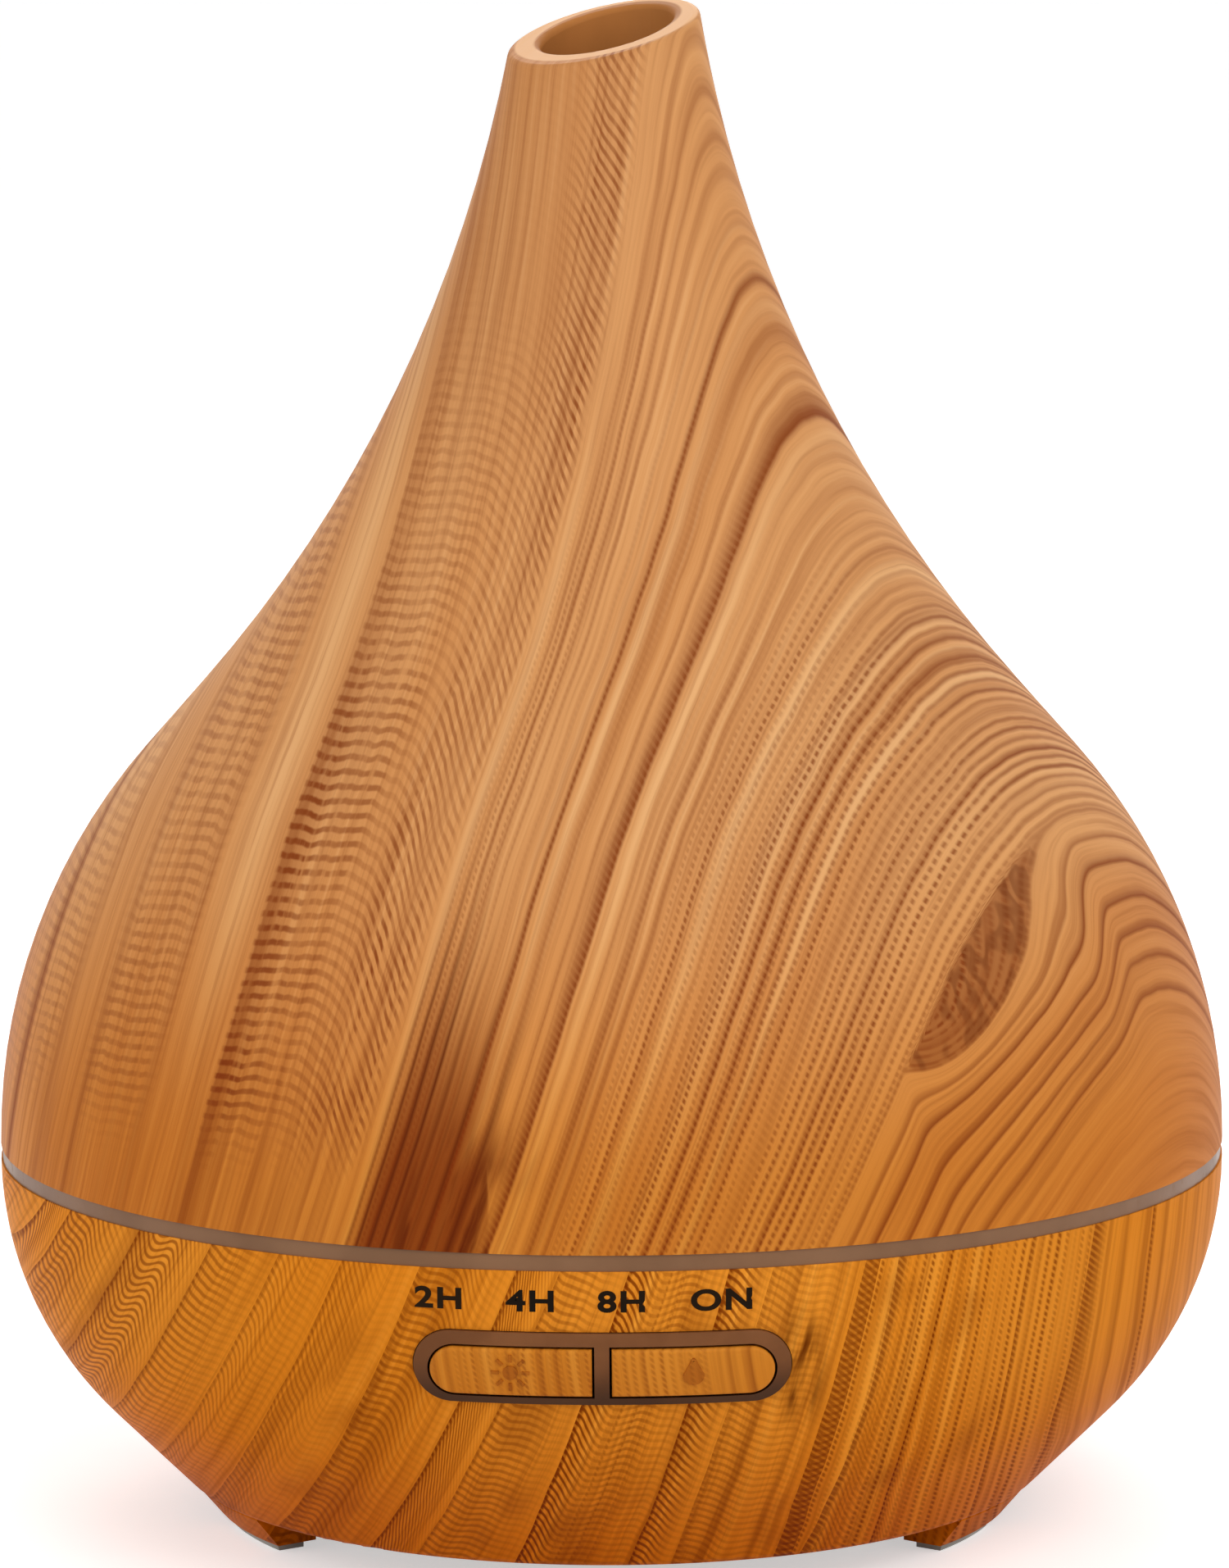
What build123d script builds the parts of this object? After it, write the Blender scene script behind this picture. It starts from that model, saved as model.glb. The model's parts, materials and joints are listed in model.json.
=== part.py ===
from build123d import *
import os
from math import acos, asin, atan2, cos, degrees, hypot, radians, sin, sqrt, tan

# Ultrasonic mist humidifier in the shape of a vase, as an assembly of separate pieces.
# Millimetres, +Z up, origin on the floor under the middle of the body, front towards -Y.

# Outer form
BODY_R = 84.2  # radius at the seam
SEAM_Z = 52.0  # height of the seam between cover and ring
RING_H = 2.1  # height of the light ring between bowl and cover
BOWL_ARC_R = 46.8  # radius of the bowl's side in section
BOTTOM_Z = 5.2  # underside of the bowl above the floor
BOTTOM_LAND = 9.9  # width of the bowl's underside outside the base plate
BOTTOM_ROUND = 3.0  # rounding of the bowl's bottom edge
SHOULDER_R = 80.7  # radius of the cover's shoulder in section
SHOULDER_TURN = 41.6  # lean of the cover where shoulder turns to neck, degrees from upright
SHOULDER_RUN = 11.8  # straight stretch between shoulder and neck
MOUTH_Z = 203.3  # height of the mouth at the axis
MOUTH_R = 12.9  # radius of the neck at that height
MOUTH_TILT = 18.6  # slant of the mouth, degrees
MOUTH_HEADING = 230.0  # side to which the mouth slants down, degrees from +X
MOUTH_BORE_R = 9.0  # radius of the mist outlet
MOUTH_LIP = 14.0  # length of the thick lip inside the mouth
MOUTH_ROUND = 0.8  # rounding of the mouth's edges
MOUTH_SPARE = 12.0  # neck turned above the mouth before the slant is cut

# Walls and fits
COVER_WALL = 2.4
HOUSING_WALL = 2.5
COVER_GAP = 0.4  # cover over the tank's collar
LOOSE_GAP = 0.3  # between pieces that drop into each other
SNUG_GAP = 0.1  # between pieces that press or screw into each other
AIR_GAP = 1.0  # between inner pieces that must not touch

# Light ring and the tank's rim
RING_INSET = 0.25  # ring set back from the wood
LEDGE_T = 1.0  # thickness of the ring's ledge under the tank flange
LEDGE_LAP = 3.0  # width of that ledge
SKIRT_T = 1.5  # ring's skirt inside the bowl
SKIRT_H = 3.0
FLANGE_T = 1.6  # tank flange
COLLAR_T = 1.8  # tank collar inside the cover
COLLAR_H = 5.0  # collar above the seam

# Base plate, feet and the screws that clamp plate, bowl and tank
PLATE_T = 2.0
LIP_T = 2.0  # bowl's inner lip over the plate
LIP_LAP = 2.0  # width of the lip over the plate
FOOT_SPAN = 20.0  # degrees
FOOT_OUT_R = 55.4  # outer radius of a foot at its bottom
FOOT_AZIMUTHS = {"left": 206.5, "right": 333.5, "rear": 90.0}
PAD_SHOW = 1.2  # pad below the foot
PAD_SINK = 0.8  # pad inside the foot
PAD_SPAN = 16.0  # degrees
PAD_MARGIN = 0.9  # foot beyond the pad, across
PAD_TAPER = 0.4  # pad's outer face drawn in at the floor
FOOT_TOP_SET = 0.2  # foot's outer face inside the bowl's bottom edge
SCREW_CIRCLE_R = 41.0  # circle of the four base screws
BASE_BOSS_R = 5.0  # screw cups of the plate
BASE_BOSS_H = 2.0
CUP_DEPTH = 2.2  # screw heads sunk into the plate
TANK_POST_R = 3.5
BASE_SHANK_R = 1.4
BASE_SHANK_L = 12.0
BASE_HEAD_R = 2.7
BASE_HEAD_H = 1.7
BASE_SCREWS = 4
CROSS_SLOT_SHARE = 0.3  # width of a screw's cross slots, as a share of the head's radius
CROSS_ARM_SHARE = 1.2  # length of those slots

# Tank
TANK_WALL = 2.0
TANK_ROUND = 12.0  # bottom corner, outside
TANK_SHOULDER_Z = 43.0  # where the wall starts to flare to the flange
TOWER_R = 10.0
TOWER_WALL = 2.0
TOWER_RISE = 7.0  # tower above the seam
HOOD_H = 10.0
HOOD_SPIGOT = 5.0
HOOD_WALL = 1.6

# Mist maker
DISC_R = 10.0
DISC_T = 1.2
DISC_WINDOW_R = 8.5  # face of the disc that meets the water
SEAL_R = 12.0
SEAL_H = 3.6
CLAMP_T = 1.6
CLAMP_EAR_R = 2.9
CLAMP_SHANK_R = 1.0
CLAMP_SHANK_L = 4.4
CLAMP_HEAD_R = 1.9
CLAMP_HEAD_H = 1.3
CLAMP_EAR_ANGLES = (60.0, 180.0, 300.0)

# Fan
FAN_SIZE = 30.0
FAN_T = 10.0
FAN_CORNER = 2.5
FAN_RIM = 1.2  # frame wall at the middle of a side
FAN_HUB_R = 7.6
FAN_BLADES = 7
FAN_ROOT_PITCH = 42.0  # degrees
FAN_TIP_PITCH = 33.6
FAN_BLADE_T = 0.9
FAN_TIP_GAP = 0.5
FAN_PLATE_T = 1.3  # motor plate and spokes
FAN_SPOKES = 3
FAN_SPOKE_W = 2.0
FAN_SHAFT_R = 1.0
FAN_BEARING_R = 2.0
FAN_RUN_GAP = 0.05  # shaft in bearing
FAN_HOLE_INSET = 3.0  # screw holes from the frame's sides
FAN_SHANK_R = 1.2
FAN_HEAD_R = 2.3
FAN_HEAD_H = 1.4
FAN_CUP_T = 1.1  # wall of the rotor's cup
FAN_ROOT_CHORD = 6.4
FAN_TIP_CHORD = 9.0
FAN_CAMBER = 0.8
FAN_STATOR_H = 3.4
GRILLE_SLOTS = 12
GRILLE_SLOT_W = 1.8
GRILLE_IN_R = 5.5
GRILLE_MARGIN = 0.8

# Controls at the front
WINDOW_Z = 37.0  # middle of the button frame
FRAME_W = 48.0
FRAME_H = 9.8
FRAME_BORDER = 1.8  # along the top and round the ends
FRAME_FOOT = 0.9  # border below the buttons
FRAME_BAR = 1.9  # bar between the buttons
FRAME_PROUD = 0.5  # frame beyond the wood
FRAME_DEPTH = 9.0  # frame's back behind the wood, at the middle
BUTTON_PROUD = 0.8  # button beyond the wood
BUTTON_ROUND = 0.5
BUTTON_FLANGE_T = 1.2
BUTTON_FLANGE_LAP = 0.6  # flange behind the frame
BUTTON_TRAVEL = 0.8
SWITCH_SIZE = 6.0
SWITCH_FLOOR = 0.4
PLUNGER_R = 1.6
PLUNGER_IN = 1.0  # plunger inside the switch, at rest
CONTROL_H = 12.0
BOARD_T = 1.6
CONTROL_POST_R = 2.6
CONTROL_POST_INSET = 3.2  # post from the board's end
BOARD_SHANK_R = 0.9
BOARD_SHANK_L = 3.0  # screw beyond its board
BOARD_HEAD_R = 1.8
BOARD_HEAD_H = 1.2

# Lamp strip under the ring
LAMP_BOARD_Z = 38.0
LAMP_BOARD_W = 7.0
LAMP_BOARD_SPAN = 250.0  # degrees, open at the front
LAMP_BOARD_GAP = 3.0  # from the tank wall
LAMP_COUNT = 8
LAMP_SIZE = 5.0
LAMP_T = 1.6
LAMP_BEVEL = 0.5
LAMP_POST_R = 2.4
LAMP_POST_ANGLES = (0.0, 90.0, 180.0)

# Driver electronics
MAIN_BOARD_W = 24.0
MAIN_BOARD_L = 44.0
STANDOFF_H = 3.0
STANDOFF_R = 2.4
STANDOFF_INSET = 3.4
COIL_R = 3.6
COIL_H = 6.0
COIL_WAIST = 1.0
COIL_CHEEK = 1.2
CAPACITOR_R = 3.0
CAPACITOR_H = 7.2
CAPACITOR_ROUND = 0.5
SINK_L = 14.0
SINK_W = 9.0
SINK_H = 7.0
SINK_FIN = 1.2
SINK_FINS = 4
TRANSISTOR_W = 7.6
TRANSISTOR_T = 2.6
TRANSISTOR_H = 6.0
TRANSISTOR_BEVEL = 0.6
SOCKET_W = 7.5
SOCKET_D = 5.0
SOCKET_H = 5.6
SOCKET_WALL = 0.8
SOCKETS = 3

# Power inlet
JACK_W = 9.0
JACK_H = 9.0
JACK_L = 11.0
JACK_BARREL_R = 3.9
JACK_BORE_R = 2.8
JACK_BORE_L = 9.5
JACK_PIN_R = 1.05
JACK_ROOT_R = 1.5  # pin's thick root inside the jack
JACK_PIN_SET = 0.8  # pin's tip inside the mouth
POCKET_DEPTH = 9.0  # jack's face behind the wood
POCKET_W = 15.0
POCKET_WALL = 1.6

# Splash guard in the cover
SPLASH_Z = 98.0
SPLASH_T = 1.6
SPLASH_RISE = 9.0
SPLASH_HOLE_R = 17.0
SPLASH_NOTCHES = 3
SPLASH_NOTCH_R = 6.0
LEDGE_TAB_W = 6.0
LEDGE_TAB_H = 2.0
LEDGE_TAB_IN = 2.2

# Heights worked out from those sizes
RING_Z0 = SEAM_Z - RING_H
PLATE_Z1 = BOTTOM_Z + PLATE_T
LIP_Z1 = PLATE_Z1 + LIP_T
BASE_POST_Z = PLATE_Z1 + BASE_BOSS_H
JACK_Z = LIP_Z1 + LOOSE_GAP + JACK_H / 2
TANK_UNDER_Z = JACK_Z + JACK_H / 2 + POCKET_WALL + AIR_GAP
FLOOR_Z = TANK_UNDER_Z + TANK_WALL
FLANGE_Z0 = RING_Z0 + LEDGE_T
TOWER_Z1 = SEAM_Z + TOWER_RISE
FAN_Z0 = PLATE_Z1
FAN_Z1 = FAN_Z0 + FAN_T
MAIN_Z0 = PLATE_Z1 + STANDOFF_H
MAIN_Z1 = MAIN_Z0 + BOARD_T
SEAL_Z0 = TANK_UNDER_Z - SEAL_H
CLAMP_Z0 = SEAL_Z0 - CLAMP_T
LAMP_Z1 = LAMP_BOARD_Z + BOARD_T

# Radii and places worked out from those sizes
COVER_IN_R = BODY_R - COVER_WALL
COLLAR_R = COVER_IN_R - COVER_GAP
LEDGE_IN_R = COLLAR_R - LEDGE_LAP
CLAMP_CIRCLE_R = SEAL_R + LOOSE_GAP + CLAMP_EAR_R
CLAMP_R = SEAL_R + AIR_GAP
FAN_X = CLAMP_R + AIR_GAP + FAN_SIZE / 2
FAN_DUCT_R = FAN_SIZE / 2 - FAN_RIM
FAN_TIP_R = FAN_DUCT_R - FAN_TIP_GAP
LIP_IN_R = hypot(FAN_X + FAN_SIZE / 2, FAN_SIZE / 2) + LOOSE_GAP
PLATE_R = LIP_IN_R + LIP_LAP
REBATE_R = PLATE_R + LOOSE_GAP
BOTTOM_R = REBATE_R + BOTTOM_LAND
FOOT_IN_R = REBATE_R + LOOSE_GAP
MAIN_X1 = -(CLAMP_CIRCLE_R + CLAMP_EAR_R)
MAIN_X0 = MAIN_X1 - MAIN_BOARD_W
FULL_TURN = 360.0
HALF_TURN = 180.0
QUARTER = 90.0
REAR = 90.0  # angle of the back from +X


# Sections of the outer form

def polar(radius, angle):
    """Point of the plan at a radius and an angle in degrees from +X."""
    return radius * cos(radians(angle)), radius * sin(radians(angle))


def arc(centre, radius, start, end):
    """Arc of a section between two angles in degrees, from start to end."""
    angles = (start, (start + end) / 2, end)
    points = [(centre[0] + polar(radius, a)[0], centre[1] + polar(radius, a)[1]) for a in angles]
    return ThreePointArc(*points)


def bowl_taper():
    """Lean in degrees of the bowl's straight lower side, which runs from its arc to its bottom edge."""
    run = BOTTOM_R - (BODY_R - BOWL_ARC_R)
    drop = RING_Z0 - BOTTOM_Z
    return degrees(atan2(drop, run) - acos(BOWL_ARC_R / hypot(run, drop)))


def bowl_radius(z, inset=0.0):
    """Radius of the bowl at a height, drawn in by inset along its normal."""
    radius = BOWL_ARC_R - inset
    centre_r = BODY_R - BOWL_ARC_R
    turn = radians(bowl_taper())
    arc_end_z = RING_Z0 - radius * sin(turn)
    if z >= arc_end_z:
        return centre_r + sqrt(radius**2 - (RING_Z0 - z) ** 2)
    return centre_r + radius * cos(turn) - (arc_end_z - z) * tan(turn)


def bowl_side(z_end, inset=0.0):
    """Section of the bowl's side, from its rim down to a height."""
    radius = BOWL_ARC_R - inset
    side = arc((BODY_R - BOWL_ARC_R, RING_Z0), radius, 0, -bowl_taper())
    return side + Line(side @ 1, (bowl_radius(z_end, inset), z_end))


def neck_start():
    """Radius and height where the shoulder turns to the neck."""
    turn = radians(SHOULDER_TURN)
    radius = BODY_R - SHOULDER_R * (1 - cos(turn)) - SHOULDER_RUN * sin(turn)
    return radius, SEAM_Z + SHOULDER_R * sin(turn) + SHOULDER_RUN * cos(turn)


def neck_sweep():
    """Centre and radius of the arc that carries the shoulder's slope on to the mouth."""
    turn = radians(SHOULDER_TURN)
    start_r, start_z = neck_start()
    draw = start_r - MOUTH_R
    rise = MOUTH_Z - start_z
    radius = (draw**2 + rise**2) / (2 * (rise * sin(turn) - draw * cos(turn)))
    return (start_r + radius * cos(turn), start_z + radius * sin(turn)), radius


def cover_side(z_end, inset=0.0):
    """Section of the cover's side, from the seam up to a height on the neck."""
    shoulder = arc((BODY_R - SHOULDER_R, SEAM_Z), SHOULDER_R - inset, 0, SHOULDER_TURN)
    centre, sweep_r = neck_sweep()
    sweep_r += inset
    end_angle = degrees(asin((centre[1] - z_end) / sweep_r))
    neck = arc(centre, sweep_r, HALF_TURN + SHOULDER_TURN, HALF_TURN + end_angle)
    return shoulder + Line(shoulder @ 1, neck @ 0) + neck


def cover_radius(z, inset=0.0):
    """Radius of the cover at a height on its shoulder, drawn in by inset."""
    return BODY_R - SHOULDER_R + sqrt((SHOULDER_R - inset) ** 2 - (z - SEAM_Z) ** 2)


# Solids that many pieces are made of

def turned(outline, angle=FULL_TURN):
    """Solid turned about the vertical axis from a closed section of radius and height."""
    return revolve(Plane.XZ * make_face(outline), Axis.Z, angle)


def sector(outline, span, azimuth):
    """Part of a turned form, centred on an azimuth."""
    return Rot(0, 0, azimuth - span / 2) * turned(outline, span)


def closed(*points):
    """Closed outline through points."""
    return Polyline(*points, close=True)


def upright(radius, z0, z1, place=(0.0, 0.0)):
    """Upright cylinder between two heights."""
    start = (Align.CENTER, Align.CENTER, Align.MIN)
    return Pos(place[0], place[1], z0) * Cylinder(radius, z1 - z0, align=start)


def tube(inner_r, outer_r, z0, z1, place=(0.0, 0.0)):
    """Upright tube between two heights."""
    return upright(outer_r, z0, z1, place) - upright(inner_r, z0, z1, place)


def along_y(radius, y0, y1, x, z):
    """Cylinder along Y between two depths."""
    start = (Align.CENTER, Align.CENTER, Align.MIN)
    return Pos(x, y0, z) * Rot(-QUARTER, 0, 0) * Cylinder(radius, y1 - y0, align=start)


def block(x_span, y_span, z_span):
    """Box between the given limits along each axis."""
    size = [span[1] - span[0] for span in (x_span, y_span, z_span)]
    start = (Align.MIN, Align.MIN, Align.MIN)
    return Pos(x_span[0], y_span[0], z_span[0]) * Box(*size, align=start)


def screw(shank_r, shank_l, head_r, head_h):
    """Domed screw with its head below the origin and its shank along +Z."""
    stem = Polyline((0, -head_h), (0, shank_l), (shank_r, shank_l), (shank_r, 0), (head_r, 0))
    rim = Line((head_r, 0), (head_r, -head_h / 2))
    dome = TangentArc((0, -head_h), (head_r, -head_h / 2), tangent=(1, 0))
    cross_w = head_r * CROSS_SLOT_SHARE
    cross_l = head_r * CROSS_ARM_SHARE
    cross = Box(cross_w, cross_l, head_h) + Box(cross_l, cross_w, head_h)
    return turned(stem + rim + dome) - Pos(0, 0, -head_h) * cross


def group(solids):
    """Separate solids of one node."""
    return Compound(children=list(solids))


# Cover

def mouth_plane():
    """Plane of the slanted mouth, facing up and towards its low side."""
    lean = polar(sin(radians(MOUTH_TILT)), MOUTH_HEADING)
    return Plane(origin=(0, 0, MOUTH_Z), z_dir=(*lean, cos(radians(MOUTH_TILT))))


def splash_edge_r():
    """Outer radius of the splash guard, inside the cover's wall."""
    return cover_radius(SPLASH_Z + SPLASH_T, COVER_WALL) - LOOSE_GAP


def upper_cover():
    """Vase-shaped shell with a slanted mouth and tabs that hold the splash guard."""
    lip_z = MOUTH_Z - MOUTH_LIP
    top_z = MOUTH_Z + MOUTH_SPARE
    outer = cover_side(top_z)
    inner = cover_side(lip_z, COVER_WALL)
    lip_r = (inner @ 1).X
    bore_z = lip_z + lip_r - MOUTH_BORE_R
    mouth = Polyline(outer @ 1, (MOUTH_BORE_R, top_z), (MOUTH_BORE_R, bore_z), inner @ 1)
    section = outer + mouth + inner + Line(inner @ 0, outer @ 0)
    shell = Rot(0, 0, MOUTH_HEADING + HALF_TURN) * turned(section)
    plane = mouth_plane()
    shell = split(shell, bisect_by=plane, keep=Keep.BOTTOM)
    rim = [edge for edge in shell.edges() if abs(plane.to_local_coords(edge @ 0.5).Z) < SNUG_GAP]
    shell = fillet(rim, MOUTH_ROUND)
    tab_r = splash_edge_r() - LEDGE_TAB_IN
    tab_span = degrees(LEDGE_TAB_W / tab_r)
    root_r = cover_radius(SPLASH_Z, COVER_WALL / 2)
    tab = closed(
        (tab_r, SPLASH_Z),
        (root_r, SPLASH_Z),
        (root_r, SPLASH_Z - LEDGE_TAB_H),
        (tab_r + LEDGE_TAB_H / 2, SPLASH_Z - LEDGE_TAB_H),
    )
    for step in range(SPLASH_NOTCHES):
        shell += sector(tab, tab_span, (step + 0.5) * FULL_TURN / SPLASH_NOTCHES)
    return shell


def splash_guard():
    """Shallow cone with a middle hole, notched at its edge so that drops run back down the wall."""
    edge_r = splash_edge_r()
    land_r = edge_r - 2 * LEDGE_TAB_IN
    cone = turned(
        closed(
            (edge_r, SPLASH_Z),
            (edge_r, SPLASH_Z + SPLASH_T),
            (land_r, SPLASH_Z + SPLASH_T),
            (SPLASH_HOLE_R, SPLASH_Z + SPLASH_T + SPLASH_RISE),
            (SPLASH_HOLE_R, SPLASH_Z + SPLASH_RISE),
            (land_r, SPLASH_Z),
        )
    )
    for step in range(SPLASH_NOTCHES):
        place = polar(edge_r, step * FULL_TURN / SPLASH_NOTCHES)
        cone -= upright(SPLASH_NOTCH_R, SPLASH_Z, SPLASH_Z + SPLASH_RISE, place)
    return cone


# Ring and tank

def light_ring():
    """Translucent ring at the seam, with a ledge for the tank and a skirt inside the bowl."""
    outer_r = BODY_R - RING_INSET
    band_r = COLLAR_R + LOOSE_GAP
    skirt_r = BODY_R - HOUSING_WALL - LOOSE_GAP
    return turned(
        closed(
            (LEDGE_IN_R, RING_Z0),
            (skirt_r - SKIRT_T, RING_Z0),
            (skirt_r - SKIRT_T, RING_Z0 - SKIRT_H),
            (skirt_r, RING_Z0 - SKIRT_H),
            (skirt_r, RING_Z0),
            (outer_r, RING_Z0),
            (outer_r, SEAM_Z),
            (band_r, SEAM_Z),
            (band_r, FLANGE_Z0),
            (LEDGE_IN_R, FLANGE_Z0),
        )
    )


def tank_outer():
    """Solid form of the tank's outside."""
    flare_r = LEDGE_IN_R - LOOSE_GAP
    rim_z = SEAM_Z + COLLAR_H
    points = [
        (0, TANK_UNDER_Z),
        (TANK_R, TANK_UNDER_Z),
        (TANK_R, TANK_SHOULDER_Z),
        (flare_r, FLANGE_Z0),
        (COLLAR_R, FLANGE_Z0),
        (COLLAR_R, rim_z),
        (0, rim_z),
    ]
    corners = [0, TANK_ROUND, COLLAR_T, 0, 0, 0, 0]
    return turned(FilletPolyline(*points, radius=corners, close=True))


def tank_inside():
    """Space inside the tank, which holds the water."""
    run = LEDGE_IN_R - LOOSE_GAP - TANK_R
    rise = FLANGE_Z0 - TANK_SHOULDER_Z
    slope = hypot(run, rise)
    wall_r = TANK_R - TANK_WALL
    flare_z = TANK_SHOULDER_Z + TANK_WALL * (slope - rise) / run
    flange_z = FLANGE_Z0 + FLANGE_T
    flange_r = wall_r + (flange_z - flare_z) * run / rise
    rim_r = COLLAR_R - COLLAR_T
    rim_z = SEAM_Z + COLLAR_H
    points = [
        (0, FLOOR_Z),
        (wall_r, FLOOR_Z),
        (wall_r, flare_z),
        (flange_r, flange_z),
        (rim_r, flange_z),
        (rim_r, rim_z),
        (0, rim_z),
    ]
    corners = [0, TANK_ROUND - TANK_WALL, COLLAR_T, 0, 0, 0, 0]
    return turned(FilletPolyline(*points, radius=corners, close=True))


def base_screw_places():
    """Plan places of the four base screws."""
    pitch = FULL_TURN / BASE_SCREWS
    return [polar(SCREW_CIRCLE_R, pitch * (step + 0.5)) for step in range(BASE_SCREWS)]


def clamp_screw_places():
    """Plan places of the disc clamp's screws."""
    return [polar(CLAMP_CIRCLE_R, angle) for angle in CLAMP_EAR_ANGLES]


def lamp_screw_places():
    """Plan places of the lamp board's screws."""
    return [polar(LAMP_CIRCLE_R, angle) for angle in LAMP_POST_ANGLES]


def water_tank():
    """Basin with its flange and collar, air tower, disc window and the posts on its underside."""
    tank = tank_outer()
    posts = [(TANK_POST_R, BASE_POST_Z, place) for place in base_screw_places()]
    posts += [(CLAMP_EAR_R, SEAL_Z0, place) for place in clamp_screw_places()]
    for radius, z0, place in posts:
        tank += upright(radius, z0, TANK_UNDER_Z, place)
    for place in lamp_screw_places():
        tank += upright(LAMP_POST_R, LAMP_Z1, FLANGE_Z0, place)
    tank -= tank_inside()
    tower_place = (TOWER_X, 0)
    tank += upright(TOWER_R, TANK_UNDER_Z, TOWER_Z1, tower_place)
    tank -= upright(TOWER_R - TOWER_WALL, TANK_UNDER_Z, TOWER_Z1, tower_place)
    tank -= turned(
        closed(
            (0, TANK_UNDER_Z),
            (DISC_WINDOW_R, TANK_UNDER_Z),
            (DISC_WINDOW_R + TANK_WALL, FLOOR_Z),
            (0, FLOOR_Z),
        )
    )
    pilots = [(BASE_SHANK_R, BASE_POST_Z, BASE_SCREW_Z1, p) for p in base_screw_places()]
    pilots += [(CLAMP_SHANK_R, SEAL_Z0, CLAMP_Z0 + CLAMP_SHANK_L, p) for p in clamp_screw_places()]
    pilots += [
        (BOARD_SHANK_R, LAMP_Z1, LAMP_Z1 + BOARD_SHANK_L, p) for p in lamp_screw_places()
    ]
    for radius, z0, z1, place in pilots:
        tank -= upright(radius + SNUG_GAP, z0, z1 + LOOSE_GAP, place)
    return tank


def air_hood():
    """Cap pressed into the air tower, open on the side that faces the mist."""
    place = (TOWER_X, 0)
    spigot_r = TOWER_R - TOWER_WALL - SNUG_GAP
    roof_z = TOWER_Z1 + HOOD_H
    hood = upright(TOWER_R, TOWER_Z1, roof_z, place)
    hood = fillet(hood.edges().group_by(Axis.Z)[-1], TOWER_WALL)
    hood += upright(spigot_r, TOWER_Z1 - HOOD_SPIGOT, TOWER_Z1, place)
    hood -= upright(spigot_r - HOOD_WALL, TOWER_Z1 - HOOD_SPIGOT, roof_z - HOOD_WALL, place)
    mouth_half = spigot_r - HOOD_WALL
    mouth_x = (TOWER_X - TOWER_R - AIR_GAP, TOWER_X)
    mouth_z = (TOWER_Z1 + HOOD_WALL, roof_z - 2 * HOOD_WALL)
    return hood - block(mouth_x, (-mouth_half, mouth_half), mouth_z)


# Mist maker

def groove_span():
    """Lower and upper height of the disc in its seal."""
    middle = SEAL_Z0 + SEAL_H / 2
    return middle - DISC_T / 2, middle + DISC_T / 2


def ultrasonic_disc():
    """Ceramic disc that makes the mist."""
    return upright(DISC_R, *groove_span())


def disc_seal():
    """Rubber ring with a groove for the disc."""
    low, high = groove_span()
    groove_r = DISC_R + SNUG_GAP
    return turned(
        closed(
            (DISC_WINDOW_R, SEAL_Z0),
            (SEAL_R, SEAL_Z0),
            (SEAL_R, TANK_UNDER_Z),
            (DISC_WINDOW_R, TANK_UNDER_Z),
            (DISC_WINDOW_R, high),
            (groove_r, high),
            (groove_r, low),
            (DISC_WINDOW_R, low),
        )
    )


def disc_clamp():
    """Ring with three ears that presses the seal against the tank floor."""
    clamp = upright(CLAMP_R, CLAMP_Z0, SEAL_Z0)
    ear = block((SEAL_R / 2, CLAMP_CIRCLE_R), (-CLAMP_EAR_R, CLAMP_EAR_R), (CLAMP_Z0, SEAL_Z0))
    ear += upright(CLAMP_EAR_R, CLAMP_Z0, SEAL_Z0, (CLAMP_CIRCLE_R, 0))
    ear -= upright(CLAMP_SHANK_R + SNUG_GAP, CLAMP_Z0, SEAL_Z0, (CLAMP_CIRCLE_R, 0))
    for angle in CLAMP_EAR_ANGLES:
        clamp += Rot(0, 0, angle) * ear
    return clamp - upright(DISC_WINDOW_R, CLAMP_Z0, SEAL_Z0)


def disc_clamp_screws():
    """Three screws up through the clamp's ears."""
    one = screw(CLAMP_SHANK_R, CLAMP_SHANK_L, CLAMP_HEAD_R, CLAMP_HEAD_H)
    return group(Pos(*place, CLAMP_Z0) * one for place in clamp_screw_places())


# Bowl, plate and feet

def skin(proud=0.0):
    """Solid form of the bowl, drawn out by proud."""
    side = bowl_side(BOTTOM_Z, -proud)
    return turned(side + Polyline(side @ 1, (0, BOTTOM_Z), (0, RING_Z0), side @ 0))


def foot_outline():
    """Section of a foot, from its bottom into the bowl's floor."""
    top_r = bowl_radius(BOTTOM_Z) - FOOT_TOP_SET
    root_z = BOTTOM_Z + HOUSING_WALL / 2
    return closed(
        (FOOT_IN_R, PAD_SHOW),
        (FOOT_OUT_R, PAD_SHOW),
        (top_r, BOTTOM_Z),
        (top_r, root_z),
        (FOOT_IN_R, root_z),
    )


def pad_outline(grow=0.0):
    """Section of a foot pad, drawn out by grow for its pocket."""
    inner_r = FOOT_IN_R + PAD_MARGIN - grow
    outer_r = FOOT_OUT_R - PAD_MARGIN + grow
    top_z = PAD_SHOW + PAD_SINK
    return closed(
        (inner_r, 0), (outer_r - PAD_TAPER, 0), (outer_r, PAD_SHOW), (outer_r, top_z), (inner_r, top_z)
    )


def foot_pad(azimuth):
    """Rubber pad set into a foot."""
    return sector(pad_outline(), PAD_SPAN, azimuth)


def window_sketch(grow=0.0):
    """Stadium outline of the button frame, drawn out by grow."""
    return SlotOverall(FRAME_W + 2 * grow, FRAME_H + 2 * grow)


def pushed_out(sketch, y0, y1):
    """Solid of a sketch seen from the front, between two depths."""
    front = Plane(origin=(0, y1, WINDOW_Z), x_dir=(1, 0, 0), z_dir=(0, -1, 0))
    return extrude(front * sketch, y1 - y0)


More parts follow.
